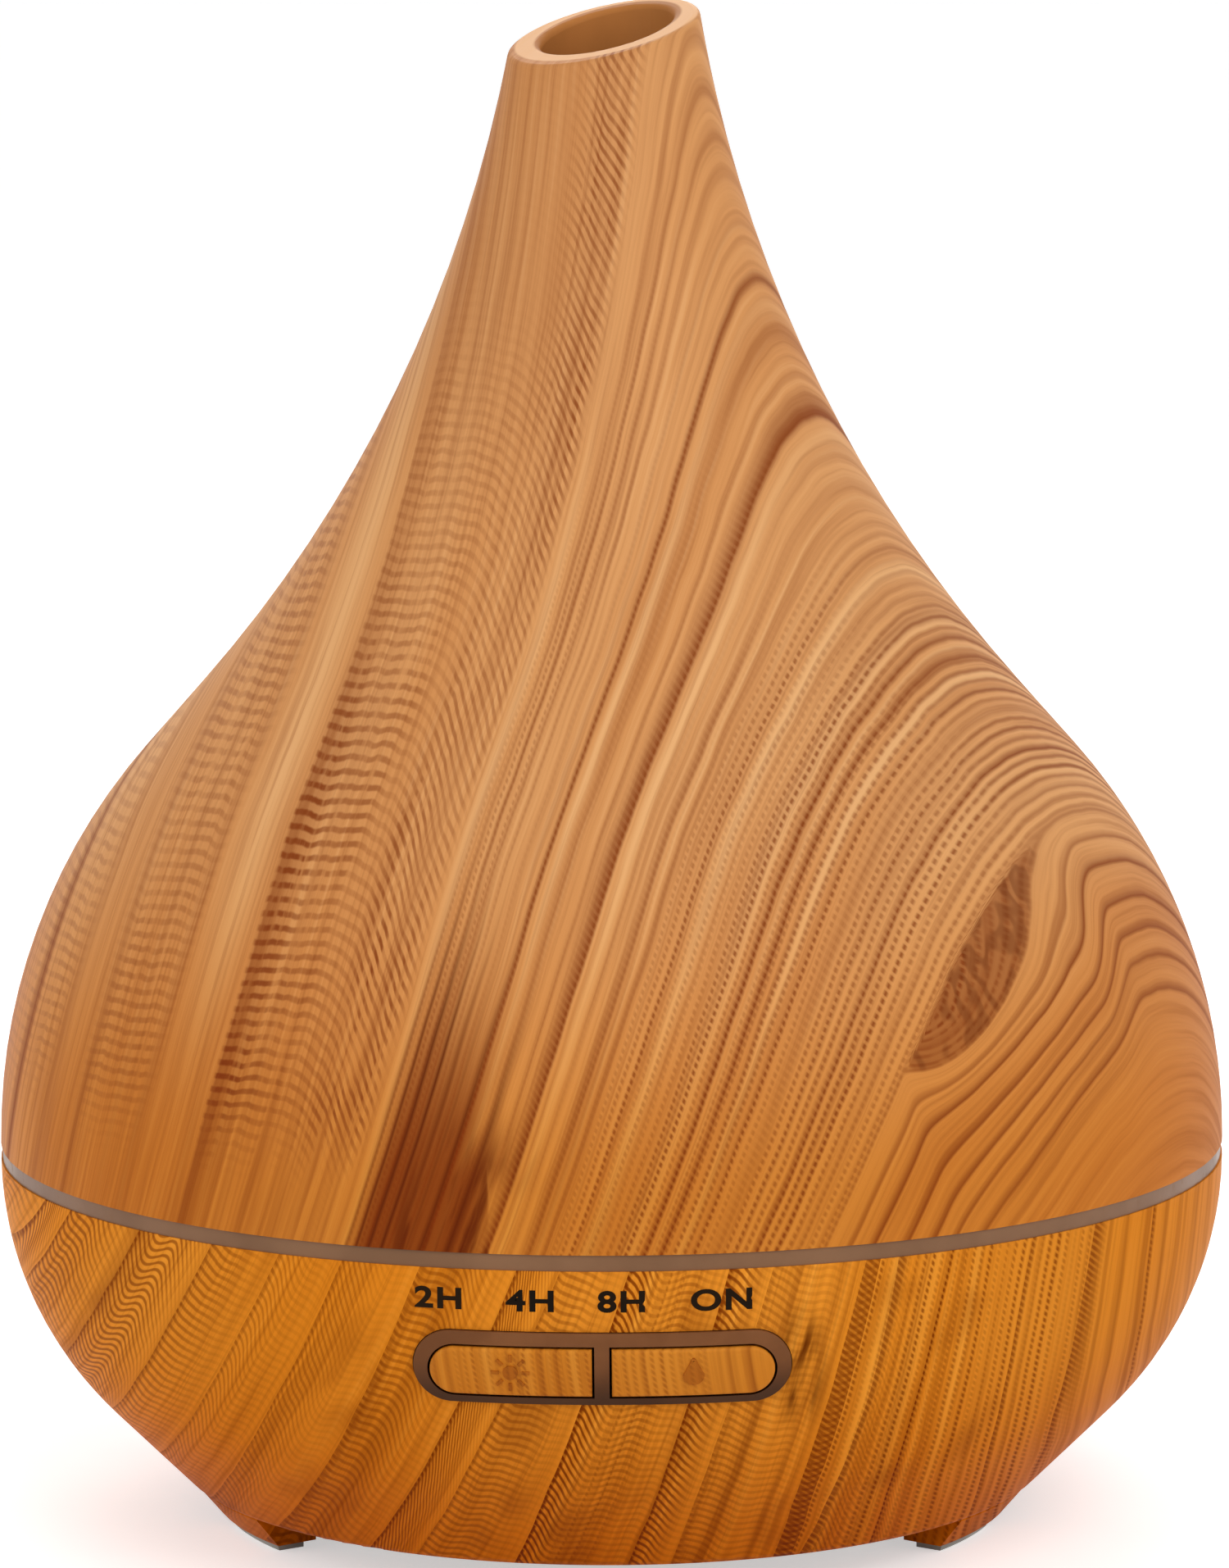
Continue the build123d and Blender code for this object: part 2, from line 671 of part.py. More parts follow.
def base_housing():
    """Wood-grain bowl with its feet, button window, board posts and jack pocket."""
    floor_z = BOTTOM_Z + HOUSING_WALL
    outer = bowl_side(BOTTOM_Z)
    inner = bowl_side(floor_z, HOUSING_WALL)
    wall_r = REBATE_R + HOUSING_WALL
    bottom = Polyline(
        outer @ 1,
        (REBATE_R, BOTTOM_Z),
        (REBATE_R, PLATE_Z1),
        (LIP_IN_R, PLATE_Z1),
        (LIP_IN_R, LIP_Z1),
        (wall_r, LIP_Z1),
        (wall_r, floor_z),
        inner @ 1,
    )
    bowl = turned(outer + bottom + inner + Line(inner @ 0, outer @ 0))
    low_edges = bowl.edges().filter_by(GeomType.CIRCLE).group_by(Axis.Z)[0]
    bowl = fillet(low_edges.sort_by(SortBy.RADIUS)[-1], BOTTOM_ROUND)
    for azimuth in FOOT_AZIMUTHS.values():
        bowl += sector(foot_outline(), FOOT_SPAN, azimuth)
        bowl -= sector(pad_outline(SNUG_GAP), PAD_SPAN + degrees(SNUG_GAP / FOOT_IN_R), azimuth)
    bowl -= pushed_out(window_sketch(SNUG_GAP), -BODY_R, FRAME_BACK)
    for x in CONTROL_POST_X:
        post = along_y(CONTROL_POST_R, -BODY_R, BOARD_FRONT, x, WINDOW_Z) & skin(-HOUSING_WALL / 2)
        hole_y = BOARD_FRONT - BOARD_SHANK_L - LOOSE_GAP
        bowl += post
        bowl -= along_y(BOARD_SHANK_R + SNUG_GAP, hole_y, BOARD_FRONT, x, WINDOW_Z)
    return add_jack_pocket(bowl)


def add_jack_pocket(bowl):
    """Sink the flat-faced pocket for the power jack into the back of the bowl."""
    half = POCKET_W / 2
    top_z = JACK_Z + JACK_H / 2
    walls = block(
        (-half - POCKET_WALL, half + POCKET_WALL), (JACK_Y1, BODY_R), (PLATE_Z1, top_z + POCKET_WALL)
    )
    bowl += walls & skin()
    bowl -= block((-half, half), (JACK_FACE, BODY_R), (JACK_Z - JACK_H / 2, top_z))
    return bowl - along_y(JACK_BARREL_R + SNUG_GAP, JACK_Y1, JACK_FACE, 0, JACK_Z)


def fan_screw_places():
    """Plan places of the fan's four screws."""
    reach = FAN_SIZE / 2 - FAN_HOLE_INSET
    return [(FAN_X + i * reach, j * reach) for i in (-1, 1) for j in (-1, 1)]


def main_screw_places():
    """Plan places of the main board's four screws."""
    reach_y = MAIN_BOARD_L / 2 - STANDOFF_INSET
    columns = (MAIN_X0 + STANDOFF_INSET, MAIN_X1 - STANDOFF_INSET)
    return [(x, side * reach_y) for x in columns for side in (-1, 1)]


def base_plate():
    """Bottom cover with its air grille, screw cups and board standoffs."""
    plate = upright(PLATE_R, BOTTOM_Z, PLATE_Z1)
    for place in base_screw_places():
        plate += upright(BASE_BOSS_R, PLATE_Z1, BASE_POST_Z, place)
        plate -= upright(BASE_HEAD_R + LOOSE_GAP, BOTTOM_Z, BOTTOM_Z + CUP_DEPTH, place)
        plate -= upright(BASE_SHANK_R + SNUG_GAP, BOTTOM_Z, BASE_POST_Z, place)
    for place in main_screw_places():
        plate += upright(STANDOFF_R, PLATE_Z1, MAIN_Z0, place)
        plate -= upright(BOARD_SHANK_R + SNUG_GAP, MAIN_Z0 - BOARD_SHANK_L, MAIN_Z0, place)
    for place in fan_screw_places():
        plate -= upright(FAN_SHANK_R + SNUG_GAP, BOTTOM_Z, PLATE_Z1, place)
    slot_l = FAN_DUCT_R - GRILLE_MARGIN - GRILLE_IN_R
    slot = extrude(SlotOverall(slot_l, GRILLE_SLOT_W), PLATE_T)
    ring = PolarLocations(GRILLE_IN_R + slot_l / 2, GRILLE_SLOTS)
    grille = Pos(FAN_X, 0, BOTTOM_Z) * (Part() + [place * slot for place in ring])
    return plate - grille


def base_screws():
    """Four screws up through the plate into the tank's posts."""
    one = screw(BASE_SHANK_R, BASE_SHANK_L, BASE_HEAD_R, BASE_HEAD_H)
    return group(Pos(*place, BOTTOM_Z + CUP_DEPTH) * one for place in base_screw_places())


# Fan

def fan_bearing_z():
    """Lower and upper height of the fan's bearing."""
    return FAN_Z0 + AIR_GAP + 2 * FAN_CUP_T, FAN_Z1 - FAN_PLATE_T


def fan_frame():
    """Square fan frame with its duct, motor plate on spokes and bearing tube."""
    frame = Pos(FAN_X, 0, FAN_Z0) * extrude(RectangleRounded(FAN_SIZE, FAN_SIZE, FAN_CORNER), FAN_T)
    frame -= upright(FAN_DUCT_R, FAN_Z0, FAN_Z1, (FAN_X, 0))
    for place in fan_screw_places():
        frame -= upright(FAN_SHANK_R + SNUG_GAP, FAN_Z0, FAN_Z1, place)
    low, high = fan_bearing_z()
    half_w = FAN_SPOKE_W / 2
    spoke = block((0, FAN_DUCT_R + FAN_RIM / 2), (-half_w, half_w), (high, FAN_Z1))
    for step in range(FAN_SPOKES):
        frame += Pos(FAN_X, 0, 0) * Rot(0, 0, (step + 0.5) * FULL_TURN / FAN_SPOKES) * spoke
    frame += upright(FAN_HUB_R, high, FAN_Z1, (FAN_X, 0))
    frame += upright(FAN_TUBE_R, low, high, (FAN_X, 0))
    return frame - upright(FAN_BEARING_R, low, high, (FAN_X, 0))


def fan_bearing():
    """Sleeve that the fan's shaft turns in."""
    low, high = fan_bearing_z()
    return tube(FAN_SHAFT_R + FAN_RUN_GAP, FAN_BEARING_R, low, high, (FAN_X, 0))


def fan_stator():
    """Wound core around the bearing tube, inside the rotor's cup."""
    high = fan_bearing_z()[1]
    outer_r = FAN_HUB_R - FAN_CUP_T - LOOSE_GAP
    return tube(FAN_TUBE_R, outer_r, high - FAN_STATOR_H, high, (FAN_X, 0))


def fan_blade():
    """Twisted, cambered blade along +X, with its low edge leading."""
    low = FAN_Z0 + AIR_GAP
    middle = (low + FAN_CUP_Z1) / 2
    sections = []
    for radius, chord, pitch in (
        (FAN_HUB_R - FAN_CUP_T / 2, FAN_ROOT_CHORD, FAN_ROOT_PITCH),
        (FAN_DUCT_R, FAN_TIP_CHORD, FAN_TIP_PITCH),
    ):
        along = polar(chord / 2, -pitch)
        across = polar(1, QUARTER - pitch)
        start = (-along[0], -along[1])
        rise = [FAN_CAMBER + side * FAN_BLADE_T / 2 for side in (1, -1)]
        upper = ThreePointArc(start, (across[0] * rise[0], across[1] * rise[0]), along)
        lower = ThreePointArc(along, (across[0] * rise[1], across[1] * rise[1]), start)
        plane = Plane(origin=(radius, 0, middle), x_dir=(0, 1, 0), z_dir=(1, 0, 0))
        sections.append(plane * make_face(upper + lower))
    return loft(sections)


def fan_rotor():
    """Cup-shaped hub with its blades."""
    low = FAN_Z0 + AIR_GAP
    wall_r = FAN_HUB_R - FAN_CUP_T
    cup = turned(
        closed(
            (FAN_SHAFT_R, low),
            (FAN_HUB_R, low),
            (FAN_HUB_R, FAN_CUP_Z1),
            (wall_r, FAN_CUP_Z1),
            (wall_r, low + FAN_CUP_T),
            (FAN_SHAFT_R, low + FAN_CUP_T),
        )
    )
    blade = fan_blade() & tube(FAN_HUB_R - FAN_CUP_T / 2, FAN_TIP_R, low, FAN_CUP_Z1)
    for step in range(FAN_BLADES):
        cup += Rot(0, 0, step * FULL_TURN / FAN_BLADES) * blade
    return Pos(FAN_X, 0, 0) * cup


def fan_shaft():
    """Steel shaft fixed in the rotor."""
    return upright(FAN_SHAFT_R, FAN_Z0 + AIR_GAP, fan_bearing_z()[1], (FAN_X, 0))


def fan_screws():
    """Four screws down through the fan frame into the plate."""
    one = screw(FAN_SHANK_R, FAN_T + PLATE_T - LOOSE_GAP, FAN_HEAD_R, FAN_HEAD_H)
    turn_over = Rot(HALF_TURN, 0, 0)
    return group(Pos(*place, FAN_Z1) * turn_over * one for place in fan_screw_places())


# Controls

def button_sketch(side, grow=0.0):
    """Outline of one button's pocket, left for -1 and right for 1, drawn out by grow."""
    pocket_w = FRAME_W - 2 * FRAME_BORDER
    pocket_h = FRAME_H - FRAME_BORDER - FRAME_FOOT
    slot = Pos(0, (FRAME_FOOT - FRAME_BORDER) / 2) * SlotOverall(pocket_w + 2 * grow, pocket_h + 2 * grow)
    inner_x = FRAME_BAR / 2 - grow
    half = Rectangle(FRAME_W, FRAME_W, align=(Align.MIN, Align.CENTER))
    if side < 0:
        half = Rectangle(FRAME_W, FRAME_W, align=(Align.MAX, Align.CENTER))
    return slot & Pos(side * inner_x, 0) * half


def button_frame():
    """Stadium frame with a bar between the two button pockets."""
    outline = window_sketch() - button_sketch(-1) - button_sketch(1)
    return pushed_out(outline, -BODY_R, FRAME_BACK) & skin(FRAME_PROUD)


def button(side):
    """Push button that follows the bowl's curve, with a flange behind the frame."""
    cap = pushed_out(button_sketch(side, -LOOSE_GAP), -BODY_R, FRAME_BACK) & skin(BUTTON_PROUD)
    front = cap.faces().sort_by(Axis.Y)[0]
    cap = fillet(front.edges(), BUTTON_ROUND)
    flange = pushed_out(button_sketch(side, BUTTON_FLANGE_LAP), FRAME_BACK, FLANGE_BACK)
    return cap + flange


def plunger(side):
    """Switch plunger behind a button."""
    return along_y(PLUNGER_R, FLANGE_BACK, SWITCH_FRONT + PLUNGER_IN, side * BUTTON_X, WINDOW_Z)


def switch(side):
    """Push switch on the control board."""
    half = SWITCH_SIZE / 2
    x = side * BUTTON_X
    body = block(
        (x - half, x + half), (SWITCH_FRONT, BOARD_FRONT), (WINDOW_Z - half, WINDOW_Z + half)
    )
    bore_y = BOARD_FRONT - SWITCH_FLOOR
    return body - along_y(PLUNGER_R + LOOSE_GAP, SWITCH_FRONT, bore_y, x, WINDOW_Z)


def control_board():
    """Upright circuit board behind the buttons."""
    half_w = CONTROL_REACH + CONTROL_POST_INSET
    half_h = CONTROL_H / 2
    board = block(
        (-half_w, half_w), (BOARD_FRONT, BOARD_BACK), (WINDOW_Z - half_h, WINDOW_Z + half_h)
    )
    for x in CONTROL_POST_X:
        board -= along_y(BOARD_SHANK_R + SNUG_GAP, BOARD_FRONT, BOARD_BACK, x, WINDOW_Z)
    return board


def board_screw():
    """Small screw for a circuit board, with its shank along +Z."""
    return screw(BOARD_SHANK_R, BOARD_T + BOARD_SHANK_L, BOARD_HEAD_R, BOARD_HEAD_H)


def control_board_screws():
    """Two screws forward through the control board into the bowl's posts."""
    face_front = Rot(QUARTER, 0, 0)
    return group(Pos(x, BOARD_BACK, WINDOW_Z) * face_front * board_screw() for x in CONTROL_POST_X)


# Lamp strip

def lamp_board():
    """Arc-shaped circuit board under the ring, open at the front."""
    outline = closed(
        (LAMP_IN_R, LAMP_BOARD_Z),
        (LAMP_IN_R + LAMP_BOARD_W, LAMP_BOARD_Z),
        (LAMP_IN_R + LAMP_BOARD_W, LAMP_Z1),
        (LAMP_IN_R, LAMP_Z1),
    )
    board = sector(outline, LAMP_BOARD_SPAN, REAR)
    for place in lamp_screw_places():
        board -= upright(BOARD_SHANK_R + SNUG_GAP, LAMP_BOARD_Z, LAMP_Z1, place)
    return board


def lamp_leds():
    """Lamps on the strip, spaced evenly."""
    pitch = LAMP_BOARD_SPAN / LAMP_COUNT
    start = REAR - LAMP_BOARD_SPAN / 2
    seat = (Align.CENTER, Align.CENTER, Align.MIN)
    one = Pos(LAMP_CIRCLE_R, 0, LAMP_Z1) * Box(LAMP_SIZE, LAMP_SIZE, LAMP_T, align=seat)
    one = chamfer(one.edges().group_by(Axis.Z)[-1], LAMP_BEVEL)
    return group(Rot(0, 0, start + pitch * (step + 0.5)) * one for step in range(LAMP_COUNT))


def lamp_board_screws():
    """Three screws up through the lamp board into the tank's posts."""
    return group(Pos(*place, LAMP_BOARD_Z) * board_screw() for place in lamp_screw_places())


# Driver electronics

def main_board():
    """Circuit board on the base plate's standoffs."""
    half = MAIN_BOARD_L / 2
    board = block((MAIN_X0, MAIN_X1), (-half, half), (MAIN_Z0, MAIN_Z1))
    for place in main_screw_places():
        board -= upright(BOARD_SHANK_R + SNUG_GAP, MAIN_Z0, MAIN_Z1, place)
    return board


def main_board_screws():
    """Four screws down through the main board into the standoffs."""
    turn_over = Rot(HALF_TURN, 0, 0)
    one = screw(BOARD_SHANK_R, BOARD_T + BOARD_SHANK_L - LOOSE_GAP, BOARD_HEAD_R, BOARD_HEAD_H)
    return group(Pos(*place, MAIN_Z1) * turn_over * one for place in main_screw_places())


def coil_places():
    """Plan places of the two coils, each side of the heat sink."""
    reach = SINK_L / 2 + AIR_GAP + COIL_R
    return [(MAIN_X0 + AIR_GAP + COIL_R, side * reach) for side in (-1, 1)]


def driver_coils():
    """Two drum coils with a waist of winding."""
    waist_r = COIL_R - COIL_WAIST
    drum = turned(
        closed(
            (0, 0),
            (COIL_R, 0),
            (COIL_R, COIL_CHEEK),
            (waist_r, COIL_CHEEK),
            (waist_r, COIL_H - COIL_CHEEK),
            (COIL_R, COIL_H - COIL_CHEEK),
            (COIL_R, COIL_H),
            (0, COIL_H),
        )
    )
    return group(Pos(*place, MAIN_Z1) * drum for place in coil_places())


def capacitors():
    """Two can capacitors beside the coils."""
    shift = COIL_R + AIR_GAP + CAPACITOR_R
    can = upright(CAPACITOR_R, 0, CAPACITOR_H)
    can = fillet(can.edges().group_by(Axis.Z)[-1], CAPACITOR_ROUND)
    return group(Pos(x + shift, y, MAIN_Z1) * can for x, y in coil_places())


def heat_sink():
    """Finned heat sink at the board's outer edge."""
    x0 = MAIN_X0 + AIR_GAP
    half = SINK_L / 2
    sink = block((x0, x0 + SINK_W), (-half, half), (MAIN_Z1, MAIN_Z1 + SINK_H))
    pitch = (SINK_L - SINK_FIN) / (SINK_FINS - 1)
    for step in range(SINK_FINS - 1):
        y0 = -half + SINK_FIN + step * pitch
        gap_y = (y0, y0 + pitch - SINK_FIN)
        sink -= block((x0, x0 + SINK_W - SINK_FIN), gap_y, (MAIN_Z1 + SINK_FIN, MAIN_Z1 + SINK_H))
    return sink


def power_transistor():
    """Driver transistor against the heat sink's back."""
    x0 = MAIN_X0 + AIR_GAP + SINK_W
    half = TRANSISTOR_W / 2
    body = block((x0, x0 + TRANSISTOR_T), (-half, half), (MAIN_Z1, MAIN_Z1 + TRANSISTOR_H))
    return chamfer(body.edges().filter_by(Axis.Y).sort_by(Axis.X)[-1], TRANSISTOR_BEVEL)


def board_sockets():
    """Open wire sockets along the board's inner edge."""
    x1 = MAIN_X1 - AIR_GAP
    half = SOCKET_W / 2
    shell = block((x1 - SOCKET_D, x1), (-half, half), (MAIN_Z1, MAIN_Z1 + SOCKET_H))
    hollow_x = (x1 - SOCKET_D + SOCKET_WALL, x1 - SOCKET_WALL)
    hollow_y = (-half + SOCKET_WALL, half - SOCKET_WALL)
    shell -= block(hollow_x, hollow_y, (MAIN_Z1 + SOCKET_WALL, MAIN_Z1 + SOCKET_H))
    pitch = SOCKET_W + AIR_GAP
    middle = (SOCKETS - 1) / 2
    return group(Pos(0, (step - middle) * pitch, 0) * shell for step in range(SOCKETS))


# Power inlet

def jack_bore_y():
    """Depth of the jack's bore and of its pin's root."""
    return JACK_FACE - JACK_BORE_L


def dc_jack():
    """Barrel jack behind the pocket's back wall."""
    half_w = JACK_W / 2
    half_h = JACK_H / 2
    body = block((-half_w, half_w), (JACK_Y0, JACK_Y1), (JACK_Z - half_h, JACK_Z + half_h))
    body += along_y(JACK_BARREL_R, JACK_Y1, JACK_FACE, 0, JACK_Z)
    body -= along_y(JACK_BORE_R, jack_bore_y(), JACK_FACE, 0, JACK_Z)
    return body - along_y(JACK_ROOT_R, JACK_Y0, jack_bore_y(), 0, JACK_Z)


def dc_jack_pin():
    """Centre pin of the jack, with a rounded tip and a root in the jack's back."""
    pin = along_y(JACK_PIN_R, jack_bore_y(), JACK_FACE - JACK_PIN_SET, 0, JACK_Z)
    pin = fillet(pin.edges().group_by(Axis.Y)[-1], JACK_PIN_R / 2)
    return pin + along_y(JACK_ROOT_R, JACK_Y0, jack_bore_y(), 0, JACK_Z)


# Places that follow from the sections above
FRAME_BACK = FRAME_DEPTH - bowl_radius(WINDOW_Z)
FLANGE_BACK = FRAME_BACK + BUTTON_FLANGE_T
SWITCH_FRONT = FLANGE_BACK + BUTTON_TRAVEL + LOOSE_GAP
BOARD_FRONT = SWITCH_FRONT + PLUNGER_IN + BUTTON_TRAVEL + LOOSE_GAP + SWITCH_FLOOR
BOARD_BACK = BOARD_FRONT + BOARD_T
BUTTON_X = (FRAME_BAR / 2 + FRAME_W / 2 - FRAME_BORDER) / 2
CONTROL_REACH = FRAME_W / 2 + AIR_GAP + CONTROL_POST_R
CONTROL_POST_X = [side * CONTROL_REACH for side in (-1, 1)]
TANK_R = -BOARD_BACK - AIR_GAP
TOWER_X = TANK_R - TANK_ROUND - TOWER_R
LAMP_IN_R = TANK_R + LAMP_BOARD_GAP
LAMP_CIRCLE_R = LAMP_IN_R + LAMP_BOARD_W / 2
BASE_SCREW_Z1 = BOTTOM_Z + CUP_DEPTH + BASE_SHANK_L
JACK_FACE = bowl_radius(JACK_Z) - POCKET_DEPTH
JACK_Y1 = JACK_FACE - POCKET_WALL
JACK_Y0 = JACK_Y1 - JACK_L
FAN_TUBE_R = FAN_BEARING_R + FAN_CUP_T
FAN_CUP_Z1 = FAN_Z1 - FAN_PLATE_T - 2 * LOOSE_GAP

PIECES = {
    "upper_cover": upper_cover(),
    "splash_guard": splash_guard(),
    "light_ring": light_ring(),
    "water_tank": water_tank(),
    "air_hood": air_hood(),
    "ultrasonic_disc": ultrasonic_disc(),
    "disc_seal": disc_seal(),
    "disc_clamp": disc_clamp(),
    "disc_clamp_screws": disc_clamp_screws(),
    "base_housing": base_housing(),
    "base_plate": base_plate(),
    "base_screws": base_screws(),
    "fan_frame": fan_frame(),
    "fan_bearing": fan_bearing(),
    "fan_stator": fan_stator(),
    "fan_rotor": fan_rotor(),
    "fan_shaft": fan_shaft(),
    "fan_screws": fan_screws(),
    "button_frame": button_frame(),
    "light_button": button(-1),
    "mist_button": button(1),
    "light_plunger": plunger(-1),
    "mist_plunger": plunger(1),
    "light_switch": switch(-1),
    "mist_switch": switch(1),
    "control_board": control_board(),
    "control_board_screws": control_board_screws(),
    "lamp_board": lamp_board(),
    "lamp_leds": lamp_leds(),
    "lamp_board_screws": lamp_board_screws(),
    "main_board": main_board(),
    "main_board_screws": main_board_screws(),
    "driver_coils": driver_coils(),
    "capacitors": capacitors(),
    "heat_sink": heat_sink(),
    "power_transistor": power_transistor(),
    "board_sockets": board_sockets(),
    "dc_jack": dc_jack(),
    "dc_jack_pin": dc_jack_pin(),
}
for side, azimuth in FOOT_AZIMUTHS.items():
    PIECES[f"foot_pad_{side}"] = foot_pad(azimuth)

os.makedirs("parts", exist_ok=True)
for node, solid in PIECES.items():
    export_step(solid, f"parts/{node}.step")
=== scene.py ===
"""Looks of the wood-grain mist humidifier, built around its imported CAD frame."""

import json
import logging
import math
from dataclasses import dataclass, field, replace
from enum import Enum
from typing import Iterable, Sequence, Union

import bpy
from mathutils import Matrix, Quaternion, Vector

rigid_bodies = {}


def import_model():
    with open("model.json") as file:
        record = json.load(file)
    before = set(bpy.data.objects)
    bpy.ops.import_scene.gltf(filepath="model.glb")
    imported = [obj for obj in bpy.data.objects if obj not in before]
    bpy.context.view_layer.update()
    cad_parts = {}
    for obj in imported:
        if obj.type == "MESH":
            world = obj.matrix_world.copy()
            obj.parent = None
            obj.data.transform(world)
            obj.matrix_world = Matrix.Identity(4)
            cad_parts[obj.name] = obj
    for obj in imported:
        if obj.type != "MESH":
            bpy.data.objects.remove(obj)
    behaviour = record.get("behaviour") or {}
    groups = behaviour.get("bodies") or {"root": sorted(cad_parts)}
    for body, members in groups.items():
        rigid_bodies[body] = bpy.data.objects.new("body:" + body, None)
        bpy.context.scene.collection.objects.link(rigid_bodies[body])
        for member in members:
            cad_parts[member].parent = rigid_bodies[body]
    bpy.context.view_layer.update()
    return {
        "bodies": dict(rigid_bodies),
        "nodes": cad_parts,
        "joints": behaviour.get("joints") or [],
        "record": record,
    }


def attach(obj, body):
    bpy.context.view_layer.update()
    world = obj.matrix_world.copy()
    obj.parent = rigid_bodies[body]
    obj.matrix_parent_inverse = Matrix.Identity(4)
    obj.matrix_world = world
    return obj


LOG = logging.getLogger("humidifier")

Colour = tuple[float, float, float, float]
Triple = tuple[float, float, float]
Feed = Union["Wire", float, Sequence[float]]
Feeds = dict[Union[int, str], Feed]

MM = 0.001
TO_MM = (1000.0, 1000.0, 1000.0)
UP = (0.0, 0.0, 1.0)
UPRIGHT = (math.radians(90.0), 0.0, 0.0)
BLACK = (0.0, 0.0, 0.0, 1.0)
WHITE = (1.0, 1.0, 1.0, 1.0)
WELD = 0.002 * MM
SMOOTH_ANGLE = math.radians(35.0)


class Kind(Enum):
    """Value kinds of a node group's sockets."""

    NUMBER = "NodeSocketFloat"
    COLOUR = "NodeSocketColor"
    VECTOR = "NodeSocketVector"


class Body(Enum):
    """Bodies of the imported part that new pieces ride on."""

    BASE = "base"
    LIGHT_BUTTON = "light_button"
    MIST_BUTTON = "mist_button"


def paint(red: int, green: int, blue: int) -> Colour:
    """Turns a colour as it is seen on a screen into a linear one.

    Args:
        red: Red from 0 to 255.
        green: Green from 0 to 255.
        blue: Blue from 0 to 255.

    Returns:
        The linear colour with a full alpha.
    """

    def linear(value: int) -> float:
        """One channel as a linear value."""
        share = value / 255.0
        return share / 12.92 if share <= 0.04045 else ((share + 0.055) / 1.055) ** 2.4

    return linear(red), linear(green), linear(blue), 1.0


class Wire:
    """A node's output. Arithmetic on it adds the Math nodes that work it out."""

    def __init__(self, sheet: "NodeSheet", socket: bpy.types.NodeSocket) -> None:
        """Keeps the sheet and the socket."""
        self.sheet = sheet
        self.socket = socket

    def __add__(self, other: Feed) -> "Wire":
        """The sum."""
        return self.sheet.math("ADD", self, other)

    def __sub__(self, other: Feed) -> "Wire":
        """The difference."""
        return self.sheet.math("SUBTRACT", self, other)

    def __rsub__(self, other: Feed) -> "Wire":
        """The difference from a plain value."""
        return self.sheet.math("SUBTRACT", other, self)

    def __mul__(self, other: Feed) -> "Wire":
        """The product."""
        return self.sheet.math("MULTIPLY", self, other)

    def __truediv__(self, other: Feed) -> "Wire":
        """The quotient."""
        return self.sheet.math("DIVIDE", self, other)

    def __or__(self, other: Feed) -> "Wire":
        """The greater of the two."""
        return self.sheet.math("MAXIMUM", self, other)

    def scaled(self, slope: float, rest: float) -> "Wire":
        """The value times a slope, plus a rest."""
        return self.sheet.math("MULTIPLY_ADD", self, slope, rest)

    def kept(self, share: float) -> "Wire":
        """What is left of 1 when the value takes a share of it away."""
        return self.scaled(-share, 1.0)

    def step(self, low: float, high: float) -> "Wire":
        """A soft step, 0 at low and 1 at high, whichever of the two is greater."""
        if low < high:
            return self.sheet.ramp(self, low, high, 0.0, 1.0)
        return self.sheet.ramp(self, high, low, 1.0, 0.0)


@dataclass(frozen=True)
class Patches:
    """Soft patches of noise: its waves per unit on each axis, its soft step and its octaves."""

    stretch: Triple
    low: float
    high: float
    octaves: float = 2.0


